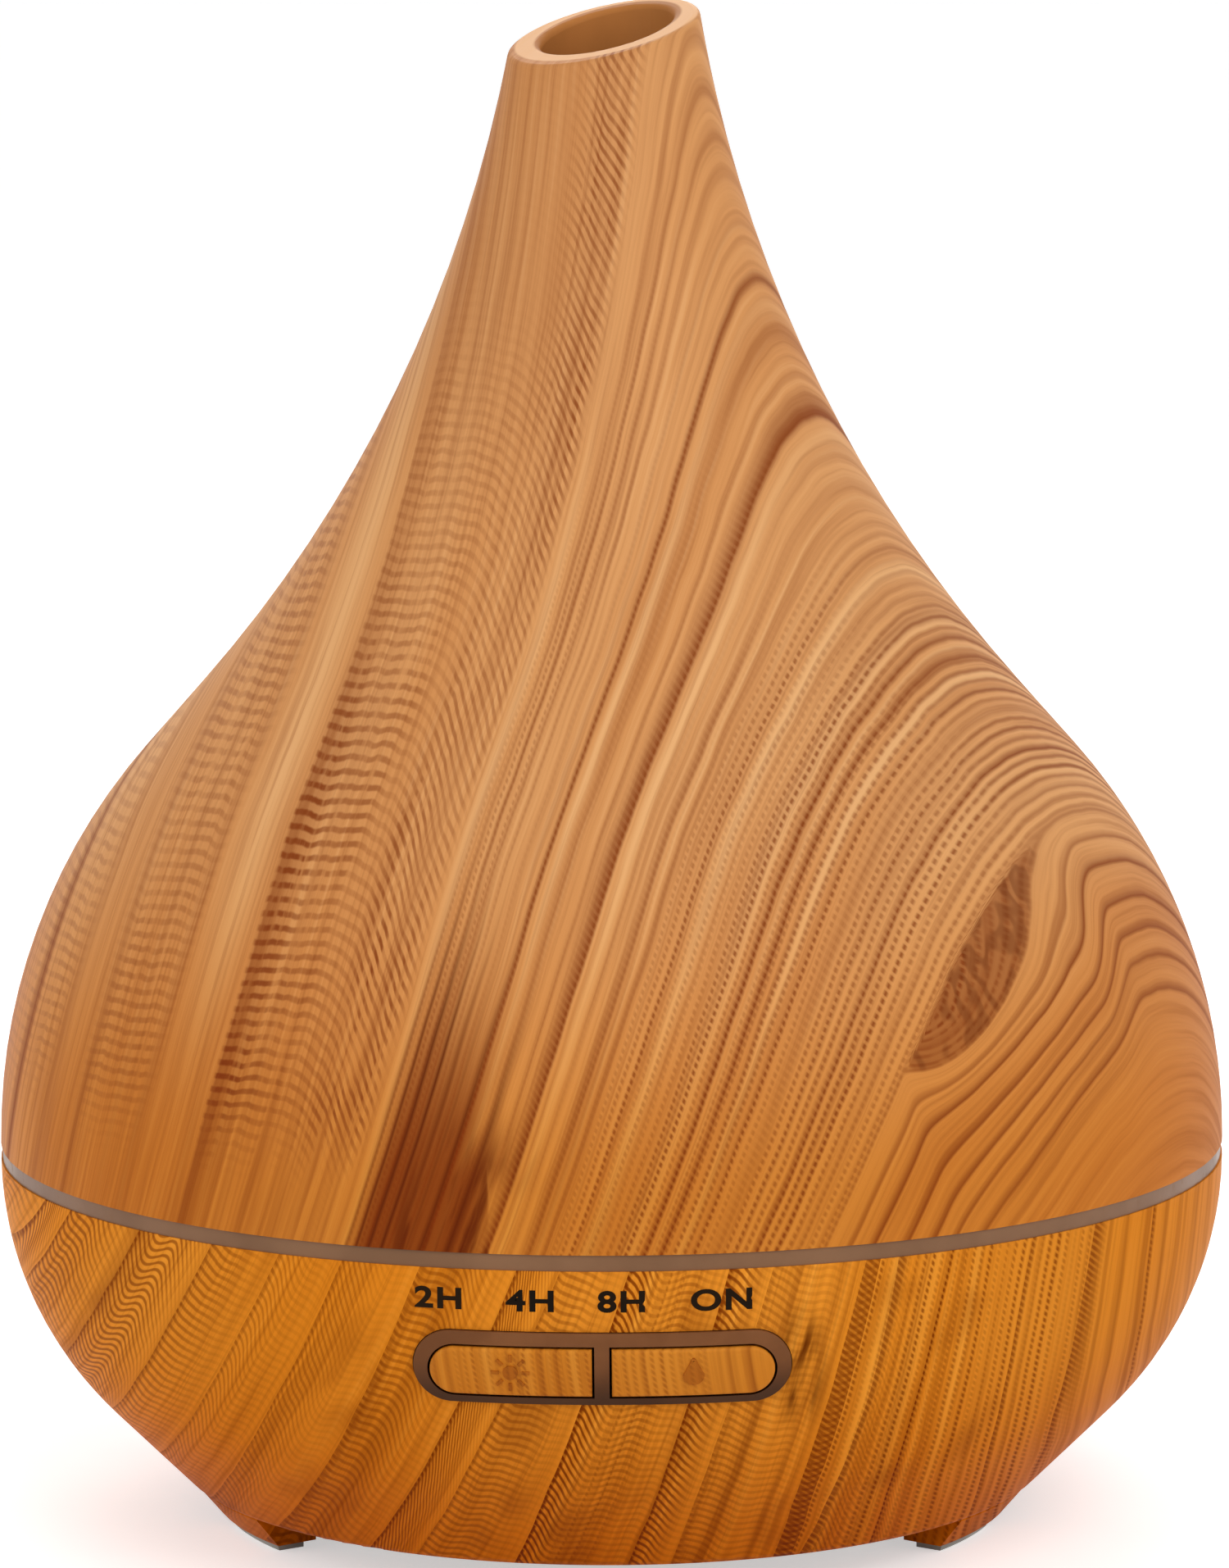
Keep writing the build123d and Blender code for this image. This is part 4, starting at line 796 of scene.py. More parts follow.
class SkinGroup(GroupSheet):
    """The slight mottle, pebble and scuff of a moulded or printed skin."""

    INPUTS = {
        Kind.VECTOR: ("Vector",),
        Kind.NUMBER: ("Pebble", "Gloss", "Dull"),
        Kind.COLOUR: ("Light", "Dark"),
    }
    MOTTLE = Patches((0.06, 0.06, 0.06), 0.35, 0.65, 4.0)
    MOTTLE_SHARE = 0.4
    SCUFF = Patches((0.9, 0.25, 0.35), 0.6, 0.72, 5.0)
    SCUFF_SHARE = 0.6
    PEBBLE = (1.0, 1.0, 1.0)
    PEBBLE_OCTAVES = 3.0

    def __init__(self) -> None:
        """Builds the group once."""
        super().__init__("moulded_skin", self.INPUTS)
        source = self.source
        place = self.vector("MULTIPLY", source["Vector"], TO_MM)
        mottle = self.patches(place, self.MOTTLE)
        worn = mottle * self.MOTTLE_SHARE + self.patches(place, self.SCUFF) * self.SCUFF_SHARE
        feeds = {0: place, "Scale": source["Pebble"]}
        pebbled = self.add("ShaderNodeVectorMath", "Vector", feeds, operation="SCALE")
        outputs = {
            "Color": self.mix(mottle, source["Light"], source["Dark"]),
            "Roughness": source["Gloss"] + worn * (source["Dull"] - source["Gloss"]),
            "Height": self.noise(pebbled, self.PEBBLE, self.PEBBLE_OCTAVES),
        }
        self.fill(self.result, outputs)


class Groups:
    """The shared node groups, each built once."""

    def __init__(self) -> None:
        """Builds every group."""
        self.wood = WoodGroup()
        self.skin = SkinGroup()


@dataclass(frozen=True)
class BareWall:
    """Where the film stops: the cut lip of the mouth, whose pale colour is partly its own and partly a
    painted highlight of its face lit from above, and the plain inner wall.
    """

    # Pale colour of the lip, partly its own and partly a painted highlight of its lit face.
    lip: Colour
    inside: Colour
    inside_shade: float = 0.86
    inside_mottle: Patches = Patches((90.0, 90.0, 60.0), 0.3, 0.7, 3.0)
    inside_turn: float = -0.12
    mouth_z: float = 203.3 * MM
    tilt: float = math.radians(18.6)
    heading: float = math.radians(230.0)
    lip_depth: float = 0.35 * MM
    lip_full: float = 0.3
    lip_centre: Triple = (0.0, 0.6 * MM, 0.0)
    lip_inner: float = 10.0 * MM
    lip_outer: float = 12.6 * MM
    lip_soft: float = 0.25 * MM

    def over(self, sheet: NodeSheet, film: Wire) -> Wire:
        """Lays the bare colours over the film.

        Args:
            sheet: The material's node sheet.
            film: The film's colour.

        Returns:
            The colour with the lip, partly painted highlight, and the inner wall.
        """
        place, facing = sheet.wires(sheet.node("ShaderNodeTexCoord"), ("Object", "Normal"))
        flat = sheet.vector("MULTIPLY", place, (1.0, 1.0, 0.0))
        inner = sheet.dot(facing, sheet.vector("NORMALIZE", flat)).step(0.0, self.inside_turn)
        shaded = tuple(self.inside_shade * part for part in self.inside[:3]) + (1.0,)
        wall = sheet.mix(sheet.patches(place, self.inside_mottle), self.inside, shaded)
        normal = (
            math.sin(self.tilt) * math.cos(self.heading),
            math.sin(self.tilt) * math.sin(self.heading),
            math.cos(self.tilt),
        )
        above = sheet.dot(sheet.vector("SUBTRACT", place, (0.0, 0.0, self.mouth_z)), normal)
        # The lip's flat face is painted pale: partly its own colour, partly a painted highlight where light
        # falls on it from above.
        rim = above.step(-self.lip_depth, -self.lip_full * self.lip_depth)
        around = sheet.length(sheet.vector("SUBTRACT", flat, self.lip_centre))
        begun = around.step(self.lip_inner - self.lip_soft, self.lip_inner + self.lip_soft)
        ended = around.step(self.lip_outer + self.lip_soft, self.lip_outer - self.lip_soft)
        return sheet.mix(rim * (begun * ended), sheet.mix(inner, film, wall), self.lip)


@dataclass(frozen=True)
class Finish:
    """A named material with a Principled shader, which each kind of finish fills in its own way."""

    name: str

    def material(self, groups: Groups) -> bpy.types.Material:
        """Makes the material.

        Args:
            groups: The shared node groups.

        Returns:
            The material.
        """
        made = bpy.data.materials.new(self.name)
        made.use_nodes = True
        sheet = NodeSheet(made.node_tree)
        sheet.fill(made.node_tree.nodes["Principled BSDF"], self.looks(sheet, groups))
        return made

    def looks(self, sheet: NodeSheet, groups: Groups) -> Feeds:
        """Works out the looks.

        Args:
            sheet: The material's node sheet.
            groups: The shared node groups.

        Returns:
            What the shader's inputs are fed with.
        """
        raise NotImplementedError


@dataclass(frozen=True)
class WoodFilm(Finish):
    """A wood-grain film finish with its own place in the log."""

    light: Colour
    middle: Colour
    dark: Colour
    deep: Colour
    warm: Colour
    warm_low: float
    warm_high: float
    streak_place: Triple = (0.0, 0.0, 0.0)
    streak_reach: Triple = (1.0, 1.0, 1.0)
    streak_end: float = 200.0
    cut_angle: float = math.radians(65.0)
    bend: float = 0.0
    lean: float = 0.0
    shift: float = 0.0
    knot: float = 0.0
    ripple: float = 1.2
    ribbons: float = 0.0
    stroke: float = 3.7
    lines: float = 1.0
    bump: float = 0.25
    bump_depth: float = 0.06 * MM
    shine: float = 0.1
    bare: Union[BareWall, None] = None

    @property
    def cut(self) -> Triple:
        """The direction of depth in the log."""
        return math.sin(self.cut_angle), -math.cos(self.cut_angle), 0.0

    def looks(self, sheet: NodeSheet, groups: Groups) -> Feeds:
        """Lays the film, and the bare wall over it where there is one."""
        feeds = groups.wood.looks(sheet, self)
        if self.bare:
            feeds["Base Color"] = self.bare.over(sheet, feeds["Base Color"])
        return feeds


@dataclass(frozen=True)
class MouldedSkin(Finish):
    """A plastic, rubber or ink finish with a mottled, pebbled skin, and, if need be, a painted shade that
    darkens it towards the bottom.
    """

    light: Colour
    dark: Colour
    gloss: float = 0.35
    dull: float = 0.5
    pebble: float = 3.0
    bump: float = 0.12
    bump_depth: float = 0.08 * MM
    shine: float = 0.35
    # Painted shade: its share, the height where it is full, and the height above which it is gone.
    shade: float = 0.0
    shade_low: float = 0.0
    shade_high: float = 1.0

    def looks(self, sheet: NodeSheet, groups: Groups) -> Feeds:
        """Lays the skin and its painted shade."""
        feeds = groups.skin.looks(sheet, self)
        # Painted shade: the colour darkens towards black below a height, for faces turned down away from
        # the lamps.
        if self.shade:
            low = sheet.dot(sheet.place(), UP).step(self.shade_high, self.shade_low)
            feeds["Base Color"] = sheet.mix(low * self.shade, feeds["Base Color"], BLACK)
        return feeds


@dataclass(frozen=True)
class CircuitLaminate(Finish):
    """Green board laminate with copper tracks under its lacquer."""

    field_green: Colour = paint(28, 92, 52)
    track_green: Colour = paint(62, 132, 72)
    pad_tin: Colour = paint(196, 196, 186)
    pitch: float = 2.2 * MM
    pad_scale: float = 0.22 / MM
    pad_edge: tuple[float, float] = (0.16, 0.12)
    dull: float = 0.42
    pad_gloss: float = 0.12
    bump: float = 0.3
    bump_depth: float = 0.05 * MM

    def looks(self, sheet: NodeSheet, groups: Groups) -> Feeds:
        """Draws tracks on level and upright boards alike, and round pads between them."""
        place = sheet.place()
        first, *others = sheet.parts(place)
        masks = []
        for other in others:
            feeds = {
                "Vector": sheet.joined(first, other),
                "Scale": 1.0 / self.pitch,
                "Mortar Size": 0.06,
                "Mortar Smooth": 0.1,
                "Brick Width": 2.6,
                "Row Height": 0.55,
            }
            brick = {"offset": 0.37, "squash": 1.6, "squash_frequency": 3}
            masks.append(sheet.add("ShaderNodeTexBrick", "Fac", feeds, **brick))
        tracks = masks[0] * masks[1]
        feeds = {"Vector": place, "Scale": self.pad_scale}
        pads = sheet.add("ShaderNodeTexVoronoi", "Distance", feeds, feature="F1").step(*self.pad_edge)
        board = sheet.mix(tracks, self.field_green, self.track_green)
        return {
            "Base Color": sheet.mix(pads, board, self.pad_tin),
            "Metallic": pads,
            "Roughness": self.dull - pads * self.pad_gloss,
            "Normal": sheet.bump(tracks | pads, self.bump, self.bump_depth),
        }


@dataclass(frozen=True)
class WoundWire(Finish):
    """Lacquered copper wire, wound in close turns, with a painted shade in the grooves between them."""

    bright: Colour = paint(206, 122, 72)
    gap: Colour = paint(108, 54, 30)
    turn_pitch: float = 0.24 * MM
    sway: Triple = (900.0, 900.0, 900.0)
    sway_reach: float = 0.1 * MM
    crown_edge: tuple[float, float] = (0.04, 0.34)
    dull: float = 0.5
    crown_gloss: float = 0.22
    metal: float = 0.85
    bump: float = 0.6
    bump_depth: float = 0.08 * MM

    def looks(self, sheet: NodeSheet, groups: Groups) -> Feeds:
        """Draws the turns one above the other, with painted shade between them."""
        place = sheet.place()
        run = (sheet.parts(place)[2] + sheet.noise(place, self.sway) * self.sway_reach) / self.turn_pitch
        crown = sheet.math("PINGPONG", run, 0.5).step(*self.crown_edge)
        return {
            # The darker colour between the crowns is painted shade in the grooves between turns.
            "Base Color": sheet.mix(crown, self.gap, self.bright),
            "Metallic": self.metal,
            "Roughness": self.dull - crown * self.crown_gloss,
            "Normal": sheet.bump(crown, self.bump, self.bump_depth),
        }


@dataclass(frozen=True)
class BrushedMetal(Finish):
    """Turned, rolled or plated metal with fine tool marks along one axis."""

    bright: Colour
    dull: Colour
    rough_low: float = 0.22
    rough_high: float = 0.42
    marks: Triple = (400.0, 400.0, 6000.0)
    mark_octaves: float = 3.0
    stains: Patches = Patches((150.0, 150.0, 150.0), 0.35, 0.7, 3.0)
    bump: float = 0.15
    bump_depth: float = 0.03 * MM

    def looks(self, sheet: NodeSheet, groups: Groups) -> Feeds:
        """Mixes the tool marks and the stains half and half."""
        place = sheet.place()
        mark = sheet.noise(place, self.marks, self.mark_octaves)
        share = mark * 0.5 + sheet.patches(place, self.stains) * 0.5
        return {
            "Base Color": sheet.mix(share, self.bright, self.dull),
            "Metallic": 1.0,
            "Roughness": share.scaled(self.rough_high - self.rough_low, self.rough_low),
            "Normal": sheet.bump(mark, self.bump, self.bump_depth),
        }


def seen_rays(sheet: NodeSheet) -> Wire:
    """1 for rays of the camera, of gloss and of glass, else 0."""
    labels = ("Is Camera Ray", "Is Glossy Ray", "Is Transmission Ray")
    camera, gloss, glass = sheet.wires(sheet.node("ShaderNodeLightPath"), labels)
    return camera | gloss | glass


@dataclass(frozen=True)
class PaleFloor(Finish):
    """A pale matt floor that looks brighter than the light it gives back."""

    bright: Colour = (0.9, 0.9, 0.9, 1.0)
    dull: Colour = (0.86, 0.86, 0.86, 1.0)
    grain: Patches = Patches((30.0, 30.0, 30.0), 0.3, 0.7, 3.0)
    rough: float = 0.9
    shine: float = 0.1
    lift: float = 0.5

    def looks(self, sheet: NodeSheet, groups: Groups) -> Feeds:
        """Mixes the grain and lifts what is seen."""
        return {
            "Base Color": sheet.mix(sheet.patches(sheet.place(), self.grain), self.dull, self.bright),
            "Roughness": self.rough,
            "Specular IOR Level": self.shine,
            "Emission Color": WHITE,
            "Emission Strength": seen_rays(sheet) * self.lift,
        }


@dataclass
class Studio:
    """The plain floor, the soft lamps and the camera, which stands where the photo was taken from."""

    target: Vector = field(default_factory=lambda: Vector((0.57, 0.0, 100.13)) * MM)
    distance: float = 900.0 * MM
    azimuth: float = 0.9
    elevation: float = 7.94
    roll: float = -0.213
    focal_pixels: float = 7991.4
    frame_pixels: float = 1913.0
    sensor: float = 36.0
    floor_size: float = 80.0
    ambient: float = 0.55
    lamp_size: float = 1.0
    lamps: tuple[tuple[str, Triple, float], ...] = (
        ("key_lamp", (0.5, -1.2, 1.3), 7.4),
        ("fill_lamp", (1.2, -0.9, 0.6), 4.0),
        ("side_lamp", (-1.2, -0.8, 0.6), 4.5),
        ("back_lamp", (0.0, 1.2, 0.9), 6.0),
    )

    def camera(self) -> None:
        """Places the camera."""
        turn = math.radians(self.azimuth)
        rise = math.radians(self.elevation)
        back = Vector((math.sin(turn) * math.cos(rise), -math.cos(turn) * math.cos(rise), math.sin(rise)))
        lens = bpy.data.cameras.new("camera")
        lens.sensor_width = self.sensor
        lens.lens = self.focal_pixels / self.frame_pixels * self.sensor
        made = bpy.data.objects.new("camera", lens)
        facing = back.to_track_quat("Z", "Y") @ Quaternion(UP, math.radians(self.roll))
        stand = Matrix.Translation(self.target + back * self.distance)
        made.matrix_world = stand @ facing.to_matrix().to_4x4()
        bpy.context.scene.collection.objects.link(made)
        bpy.context.scene.camera = made

    def world(self) -> None:
        """White where it is seen, and a plain soft light everywhere else."""
        world = bpy.data.worlds.new("studio")
        world.use_nodes = True
        bpy.context.scene.world = world
        sheet = NodeSheet(world.node_tree)
        strength = seen_rays(sheet).scaled(1.0 - self.ambient, self.ambient)
        sheet.fill(world.node_tree.nodes["Background"], {"Color": WHITE, "Strength": strength})

    def floor(self, groups: Groups) -> None:
        """Lays the floor, which keeps the shadow.

        Args:
            groups: The shared node groups.
        """
        bpy.ops.mesh.primitive_plane_add(size=self.floor_size)
        made = bpy.context.object
        made.name = "floor"
        made.data.materials.append(PaleFloor("pale_floor").material(groups))

    def lamp(self, name: str, place: Triple, power: float) -> None:
        """Adds a soft square lamp that points at the object's middle.

        Args:
            name: The lamp's name.
            place: Where it stands, in metres.
            power: Its power in watts.
        """
        lamp = bpy.data.lights.new(name, "AREA")
        lamp.size = self.lamp_size
        lamp.energy = power
        made = bpy.data.objects.new(name, lamp)
        made.location = place
        made.rotation_mode = "QUATERNION"
        made.rotation_quaternion = (Vector(place) - self.target).to_track_quat("Z", "Y")
        bpy.context.scene.collection.objects.link(made)

    def build(self, groups: Groups) -> None:
        """Builds the whole studio.

        Args:
            groups: The shared node groups.
        """
        bpy.context.scene.view_settings.view_transform = "Standard"
        self.camera()
        self.world()
        self.floor(groups)
        for lamp in self.lamps:
            self.lamp(*lamp)


COVER_FILM = WoodFilm(
    "cover_wood",
    light=paint(235, 179, 121),
    middle=paint(210, 142, 82),
    dark=paint(132, 58, 14),
    deep=paint(104, 44, 8),
    warm=(0.86, 0.61, 0.21, 1.0),
    warm_low=54.0,
    warm_high=112.0,
    streak_place=(-25.0, -82.0, 50.0),
    streak_reach=(21.0, 60.0, 76.0),
    streak_end=-14.0,
    bend=8.0,
    knot=1.0,
    shine=0.045,
    # The pale lip colour is partly a painted highlight of the lit rim.
    bare=BareWall(lip=paint(236, 182, 132), inside=paint(186, 120, 62)),
)
BASE_FILM = WoodFilm(
    "base_wood",
    light=paint(244, 159, 54),
    middle=paint(223, 131, 28),
    dark=paint(120, 46, 0),
    deep=paint(110, 50, 4),
    warm=(0.84, 0.62, 0.18, 1.0),
    warm_low=2.0,
    warm_high=40.0,
    streak_place=(25.0, -79.0, 36.0),
    streak_reach=(4.5, 30.0, 11.0),
    cut_angle=math.radians(88.0),
    lean=-0.36,
    shift=2.0,
    ribbons=1.0,
    stroke=5.8,
    shine=0.015,
)
BUTTON_FILM = WoodFilm(
    "button_wood",
    light=paint(222, 144, 48),
    middle=paint(202, 120, 26),
    dark=paint(146, 72, 8),
    deep=paint(112, 52, 6),
    warm=(0.95, 0.9, 0.8, 1.0),
    warm_low=32.0,
    warm_high=42.0,
    shift=21.0,
    ripple=0.3,
    lines=0.8,
)
ICON_FILM = replace(
    BUTTON_FILM,
    name="icon_wood",
    light=paint(190, 112, 30),
    middle=paint(170, 92, 16),
    dark=paint(120, 56, 6),
    deep=paint(96, 42, 4),
)
FRAME_SKIN = MouldedSkin(
    "frame_brown",
    paint(128, 80, 44),
    paint(110, 66, 34),
    gloss=0.42,
    dull=0.6,
    shine=0.15,
    # Painted shade on the frame's lower border, which faces down away from the light.
    shade=0.68,
    shade_low=32.0 * MM,
    shade_high=38.5 * MM,
)
RING_SKIN = MouldedSkin("ring_grey", paint(134, 96, 66), paint(122, 86, 58), 0.3, 0.5, 1.4, shine=0.2)
TANK_SKIN = MouldedSkin("tank_white", paint(236, 233, 226), paint(226, 222, 213), 0.22, 0.4, 0.8)
PLATE_SKIN = MouldedSkin("plate_brown", paint(150, 108, 72), paint(132, 92, 60), 0.45, 0.65, 4.0)
PAD_SKIN = MouldedSkin("pad_grey", paint(186, 184, 178), paint(164, 162, 156), 0.7, 0.9, 6.0, bump=0.3)
SEAL_SKIN = MouldedSkin("seal_black", paint(44, 44, 46), paint(32, 32, 34), 0.6, 0.8, 5.0)
CLAMP_SKIN = MouldedSkin("clamp_white", paint(222, 220, 214), paint(208, 206, 198))
FAN_SKIN = MouldedSkin("fan_black", paint(36, 36, 38), paint(26, 26, 28), 0.38, 0.55, 3.5)
SWITCH_SKIN = MouldedSkin("switch_black", paint(40, 40, 42), paint(28, 28, 30), 0.4, 0.6)
PLUNGER_SKIN = MouldedSkin("plunger_ivory", paint(230, 224, 208), paint(216, 210, 194))
LENS_SKIN = MouldedSkin("lens_clear", paint(240, 238, 226), paint(226, 222, 204), 0.08, 0.2, 0.6)
SOCKET_SKIN = MouldedSkin("socket_ivory", paint(232, 228, 214), paint(218, 212, 196), 0.4, 0.55)
JACK_SKIN = MouldedSkin("jack_black", paint(34, 34, 36), paint(24, 24, 26), 0.42, 0.62, 4.0)
INK_SKIN = MouldedSkin("ink_black", paint(22, 15, 8), paint(34, 22, 10), 0.5, 0.7, 5.0, shine=0.05)
DISC_METAL = BrushedMetal("disc_nickel", paint(206, 204, 196), paint(176, 172, 160))
SCREW_METAL = BrushedMetal("screw_zinc", paint(206, 206, 204), paint(160, 158, 150))
SHAFT_METAL = BrushedMetal("shaft_steel", paint(214, 214, 216), paint(182, 182, 186), 0.12, 0.26)
BRONZE_METAL = BrushedMetal("bearing_bronze", paint(196, 146, 86), paint(150, 106, 58), 0.32, 0.5)
SINK_METAL = BrushedMetal("sink_aluminium", paint(204, 206, 208), paint(176, 178, 182), 0.3, 0.48)
CAN_METAL = BrushedMetal("can_aluminium", paint(196, 198, 202), paint(160, 162, 168), 0.24, 0.4)
PIN_METAL = BrushedMetal("pin_nickel", paint(216, 212, 200), paint(190, 184, 168), 0.14, 0.3)
BOARD_LAMINATE = CircuitLaminate("board_green")
COPPER_WIRE = WoundWire("winding_copper")


def dress(nodes: Iterable[str], material: bpy.types.Material, frame: dict) -> None:
    """Gives CAD nodes a material.

    Args:
        nodes: The nodes' names.
        material: The material.
        frame: The loaded frame.
    """
    for name in nodes:
        shown = frame["nodes"][name]
        if not shown.material_slots:
            shown.data.materials.append(material)
        for place in shown.material_slots:
            place.material = material
        LOG.info("dressed %s with %s", name, material.name)


def press_on(piece: bpy.types.Object, target: bpy.types.Object, lift: float) -> None:
    """Presses a flat outline on a curved front and gives it a thickness.

    Args:
        piece: The flat piece, standing in front of the target.
        target: The CAD node that it sits on.
        lift: How far it stands proud, in metres.
    """
    bpy.ops.object.select_all(action="DESELECT")
    piece.select_set(True)
    bpy.context.view_layer.objects.active = piece
    bpy.ops.object.mode_set(mode="EDIT")
    bpy.ops.mesh.select_all(action="SELECT")
    bpy.ops.mesh.remove_doubles(threshold=WELD)
    bpy.ops.mesh.normals_make_consistent(inside=False)
    bpy.ops.object.mode_set(mode="OBJECT")
    wrap = piece.modifiers.new("press", "SHRINKWRAP")
    wrap.wrap_method = "PROJECT"
    wrap.use_project_y = True
    wrap.use_negative_direction = True
    wrap.use_positive_direction = True
    wrap.target = target
    bpy.ops.object.modifier_apply(modifier=wrap.name)
    wall = piece.modifiers.new("wall", "SOLIDIFY")
    wall.thickness = 2.0 * lift
    wall.offset = 0.0
    bpy.ops.object.modifier_apply(modifier=wall.name)
    bpy.ops.object.shade_smooth_by_angle(angle=SMOOTH_ANGLE)


def finish_piece(piece: bpy.types.Object, material: bpy.types.Material, body: Body) -> None:
    """Gives a new piece its finish and its body.

    Args:
        piece: The new piece.
        material: Its finish.
        body: The body that it rides on.
    """
    piece.data.materials.clear()
    piece.data.materials.append(material)
    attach(piece, body.value)
    LOG.info("built %s on %s, %d faces", piece.name, body.value, len(piece.data.polygons))


Wears = tuple[tuple[Finish, tuple[str, ...]], ...]


@dataclass
class Assembly:
    """A sub-assembly: each finish that it wears, and the CAD nodes that wear it."""

    wears: Wears = ()

    def build(self, groups: Groups, frame: dict) -> None:
        """Dresses the sub-assembly.

        Args:
            groups: The shared node groups.
            frame: The loaded frame.
        """
        for finish, nodes in self.wears:
            dress(nodes, finish.material(groups), frame)


@dataclass
class VaseCover(Assembly):
    """The tall cover with its slanted mouth."""

    wears: Wears = ((COVER_FILM, ("upper_cover",)),)


@dataclass
class BowlBase(Assembly):
    """The bowl with its foot lugs, the bottom plate and the pads."""

    wears: Wears = (
        (BASE_FILM, ("base_housing",)),
        (PLATE_SKIN, ("base_plate",)),
        (PAD_SKIN, ("foot_pad_left", "foot_pad_right", "foot_pad_rear")),
    )


@dataclass
class WaterBasin(Assembly):
    """The tank with its air hood, and the splash guard that hangs over it."""

    wears: Wears = ((TANK_SKIN, ("water_tank", "air_hood", "splash_guard")),)


@dataclass
class MistMaker(Assembly):
    """The ultrasonic disc with its seal and its clamp."""

    wears: Wears = (
        (DISC_METAL, ("ultrasonic_disc",)),
        (SEAL_SKIN, ("disc_seal",)),
        (CLAMP_SKIN, ("disc_clamp",)),
    )


@dataclass
class LightRing(Assembly):
    """The ring at the seam and the lamps below it."""

    wears: Wears = ((RING_SKIN, ("light_ring",)), (LENS_SKIN, ("lamp_leds",)))


@dataclass
class FanUnit(Assembly):
    """The fan: frame, rotor, bearing and shaft."""

    wears: Wears = (
        (FAN_SKIN, ("fan_frame", "fan_rotor")),
        (BRONZE_METAL, ("fan_bearing",)),
        (SHAFT_METAL, ("fan_shaft",)),
    )


@dataclass
class DriverElectronics(Assembly):
    """The boards, switches, windings and driver parts, and every screw in the part."""

    wears: Wears = (
        (BOARD_LAMINATE, ("control_board", "lamp_board", "main_board")),
        (COPPER_WIRE, ("driver_coils", "fan_stator")),
        (SWITCH_SKIN, ("light_switch", "mist_switch", "power_transistor")),
        (SINK_METAL, ("heat_sink",)),
        (CAN_METAL, ("capacitors",)),
        (SOCKET_SKIN, ("board_sockets",)),
        (
            SCREW_METAL,
            (
                "disc_clamp_screws", "base_screws", "fan_screws",
                "control_board_screws", "lamp_board_screws", "main_board_screws",
            ),
        ),
    )


@dataclass
class PowerInlet(Assembly):
    """The power inlet at the rear and its pin."""

    wears: Wears = ((JACK_SKIN, ("dc_jack",)), (PIN_METAL, ("dc_jack_pin",)))


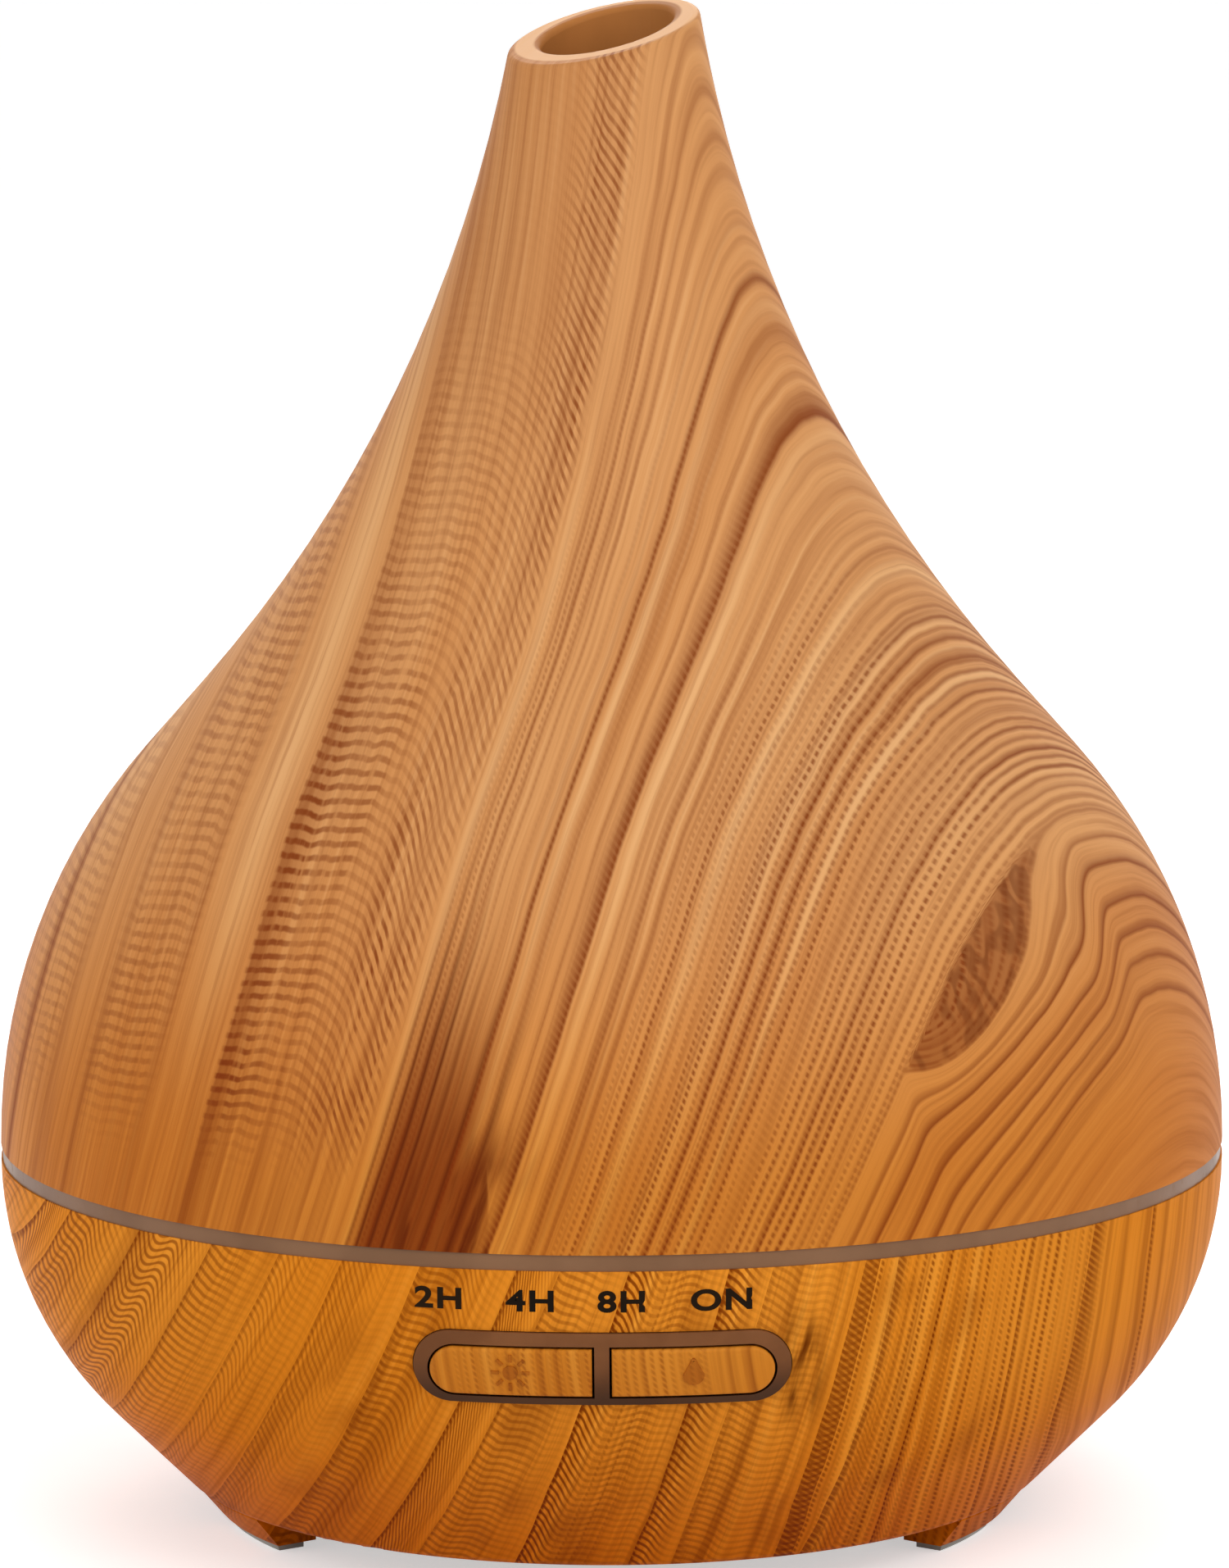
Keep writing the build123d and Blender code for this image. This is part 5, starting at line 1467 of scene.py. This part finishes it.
@dataclass
class ControlPanel(Assembly):
    """The oval frame, the two buttons with their raised signs, and the timer marks above them."""

    wears: Wears = (
        (FRAME_SKIN, ("button_frame",)),
        (BUTTON_FILM, ("light_button", "mist_button")),
        (PLUNGER_SKIN, ("light_plunger", "mist_plunger")),
    )
    front_y: float = -120.0 * MM
    mark_z: float = 45.9 * MM
    mark_height: float = 2.75 * MM
    mark_lift: float = 0.04 * MM
    mark_places: tuple[tuple[str, str, float], ...] = (
        ("timer_mark_2", "2H", -20.6 * MM),
        ("timer_mark_4", "4H", -8.9 * MM),
        ("timer_mark_8", "8H", 2.6 * MM),
        ("timer_mark_on", "ON", 15.2 * MM),
    )
    mark_stretch: float = 1.28
    letter_share: float = 0.73
    letter_weight: float = 0.03
    letter_spacing: float = 1.12
    letter_curve: int = 6
    button_z: float = 36.55 * MM
    button_x: float = 11.6 * MM
    sign_lift: float = 0.16 * MM
    lamp_corners: int = 24
    lamp_radius: float = 0.95 * MM
    lamp_inset: float = 0.35 * MM
    rays: int = 8
    ray_reach: float = 1.95 * MM
    ray_length: float = 1.0 * MM
    ray_width: float = 0.42
    drop_corners: int = 32
    drop_radius: float = 1.35 * MM
    drop_inset: float = 0.4 * MM
    drop_taper: float = 0.55
    drop_peak: float = 1.0 * MM
    drop_fall: float = 0.3 * MM

    def marks(self, material: bpy.types.Material, frame: dict) -> None:
        """Prints the timer marks on the bowl.

        Args:
            material: The ink.
            frame: The loaded frame.
        """
        for name, words, x in self.mark_places:
            bpy.ops.object.select_all(action="DESELECT")
            bpy.ops.object.text_add(location=(0.0, 0.0, 0.0))
            mark = bpy.context.object
            mark.name = name
            mark.data.body = words
            mark.data.align_x = "CENTER"
            mark.data.align_y = "CENTER"
            mark.data.size = self.mark_height / self.letter_share
            mark.data.offset = self.letter_weight * mark.data.size
            mark.data.space_character = self.letter_spacing
            mark.data.resolution_u = self.letter_curve
            bpy.ops.object.convert(target="MESH")
            mark = bpy.context.object
            mark.scale = (self.mark_stretch, 1.0, 1.0)
            mark.rotation_euler = UPRIGHT
            mark.location = (x, self.front_y, self.mark_z)
            bpy.ops.object.transform_apply(location=True, rotation=True, scale=True)
            press_on(mark, frame["nodes"]["base_housing"], self.mark_lift)
            finish_piece(mark, material, Body.BASE)

    def disc(self, name: str, centre: Vector, corners: int, radius: float) -> bpy.types.Object:
        """Adds a flat disc that faces the front.

        Args:
            name: The new piece's name.
            centre: Its middle.
            corners: How many corners it has.
            radius: Its radius in metres.

        Returns:
            The disc.
        """
        bpy.ops.object.select_all(action="DESELECT")
        bpy.ops.mesh.primitive_circle_add(
            vertices=corners, radius=radius, fill_type="NGON", location=centre, rotation=UPRIGHT
        )
        made = bpy.context.object
        made.name = name
        bpy.ops.object.transform_apply(location=True, rotation=True, scale=True)
        return made

    def light_sign(self, material: bpy.types.Material, frame: dict) -> None:
        """Raises a lamp sign, a disc with rays round it, on the left button.

        Args:
            material: The sign's finish.
            frame: The loaded frame.
        """
        centre = Vector((-self.button_x, self.front_y, self.button_z))
        sign = self.disc("light_sign", centre, self.lamp_corners, self.lamp_radius)
        bpy.ops.object.mode_set(mode="EDIT")
        bpy.ops.mesh.select_all(action="SELECT")
        bpy.ops.mesh.inset(thickness=self.lamp_inset)
        ray = centre + Vector((0.0, 0.0, self.ray_reach))
        for turn in range(self.rays):
            angle = math.radians(360.0 / self.rays * turn)
            bpy.ops.mesh.select_all(action="DESELECT")
            bpy.ops.mesh.primitive_plane_add(size=self.ray_length, location=ray, rotation=UPRIGHT)
            bpy.ops.transform.resize(value=(self.ray_width, 1.0, 1.0), center_override=ray)
            bpy.ops.transform.rotate(value=angle, orient_axis="Y", center_override=centre)
        bpy.ops.object.mode_set(mode="OBJECT")
        press_on(sign, frame["nodes"]["light_button"], self.sign_lift)
        finish_piece(sign, material, Body.LIGHT_BUTTON)

    def mist_sign(self, material: bpy.types.Material, frame: dict) -> None:
        """Raises a drop on the right button.

        Args:
            material: The sign's finish.
            frame: The loaded frame.
        """
        centre = Vector((self.button_x, self.front_y, self.button_z))
        sign = self.disc("mist_sign", centre, self.drop_corners, self.drop_radius)
        for point in sign.data.vertices:
            rise = max(point.co.z - centre.z, 0.0) / self.drop_radius
            point.co.x = centre.x + (point.co.x - centre.x) * (1.0 - self.drop_taper * rise)
            point.co.z += self.drop_peak * rise * rise - self.drop_fall
        bpy.ops.object.mode_set(mode="EDIT")
        bpy.ops.mesh.select_all(action="SELECT")
        bpy.ops.mesh.inset(thickness=self.drop_inset)
        bpy.ops.object.mode_set(mode="OBJECT")
        press_on(sign, frame["nodes"]["mist_button"], self.sign_lift)
        finish_piece(sign, material, Body.MIST_BUTTON)

    def build(self, groups: Groups, frame: dict) -> None:
        """Dresses the controls and adds their marks and signs.

        Args:
            groups: The shared node groups.
            frame: The loaded frame.
        """
        super().build(groups, frame)
        self.marks(INK_SKIN.material(groups), frame)
        icon = ICON_FILM.material(groups)
        self.light_sign(icon, frame)
        self.mist_sign(icon, frame)


def main() -> None:
    """Builds and dresses the object."""
    logging.basicConfig(level=logging.INFO, format="%(message)s")
    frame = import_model()
    bpy.ops.object.select_all(action="DESELECT")
    groups = Groups()
    Studio().build(groups)
    for assembly in (
        VaseCover(),
        BowlBase(),
        WaterBasin(),
        MistMaker(),
        LightRing(),
        FanUnit(),
        DriverElectronics(),
        PowerInlet(),
        ControlPanel(),
    ):
        assembly.build(groups, frame)


if __name__ == "__main__":
    main()
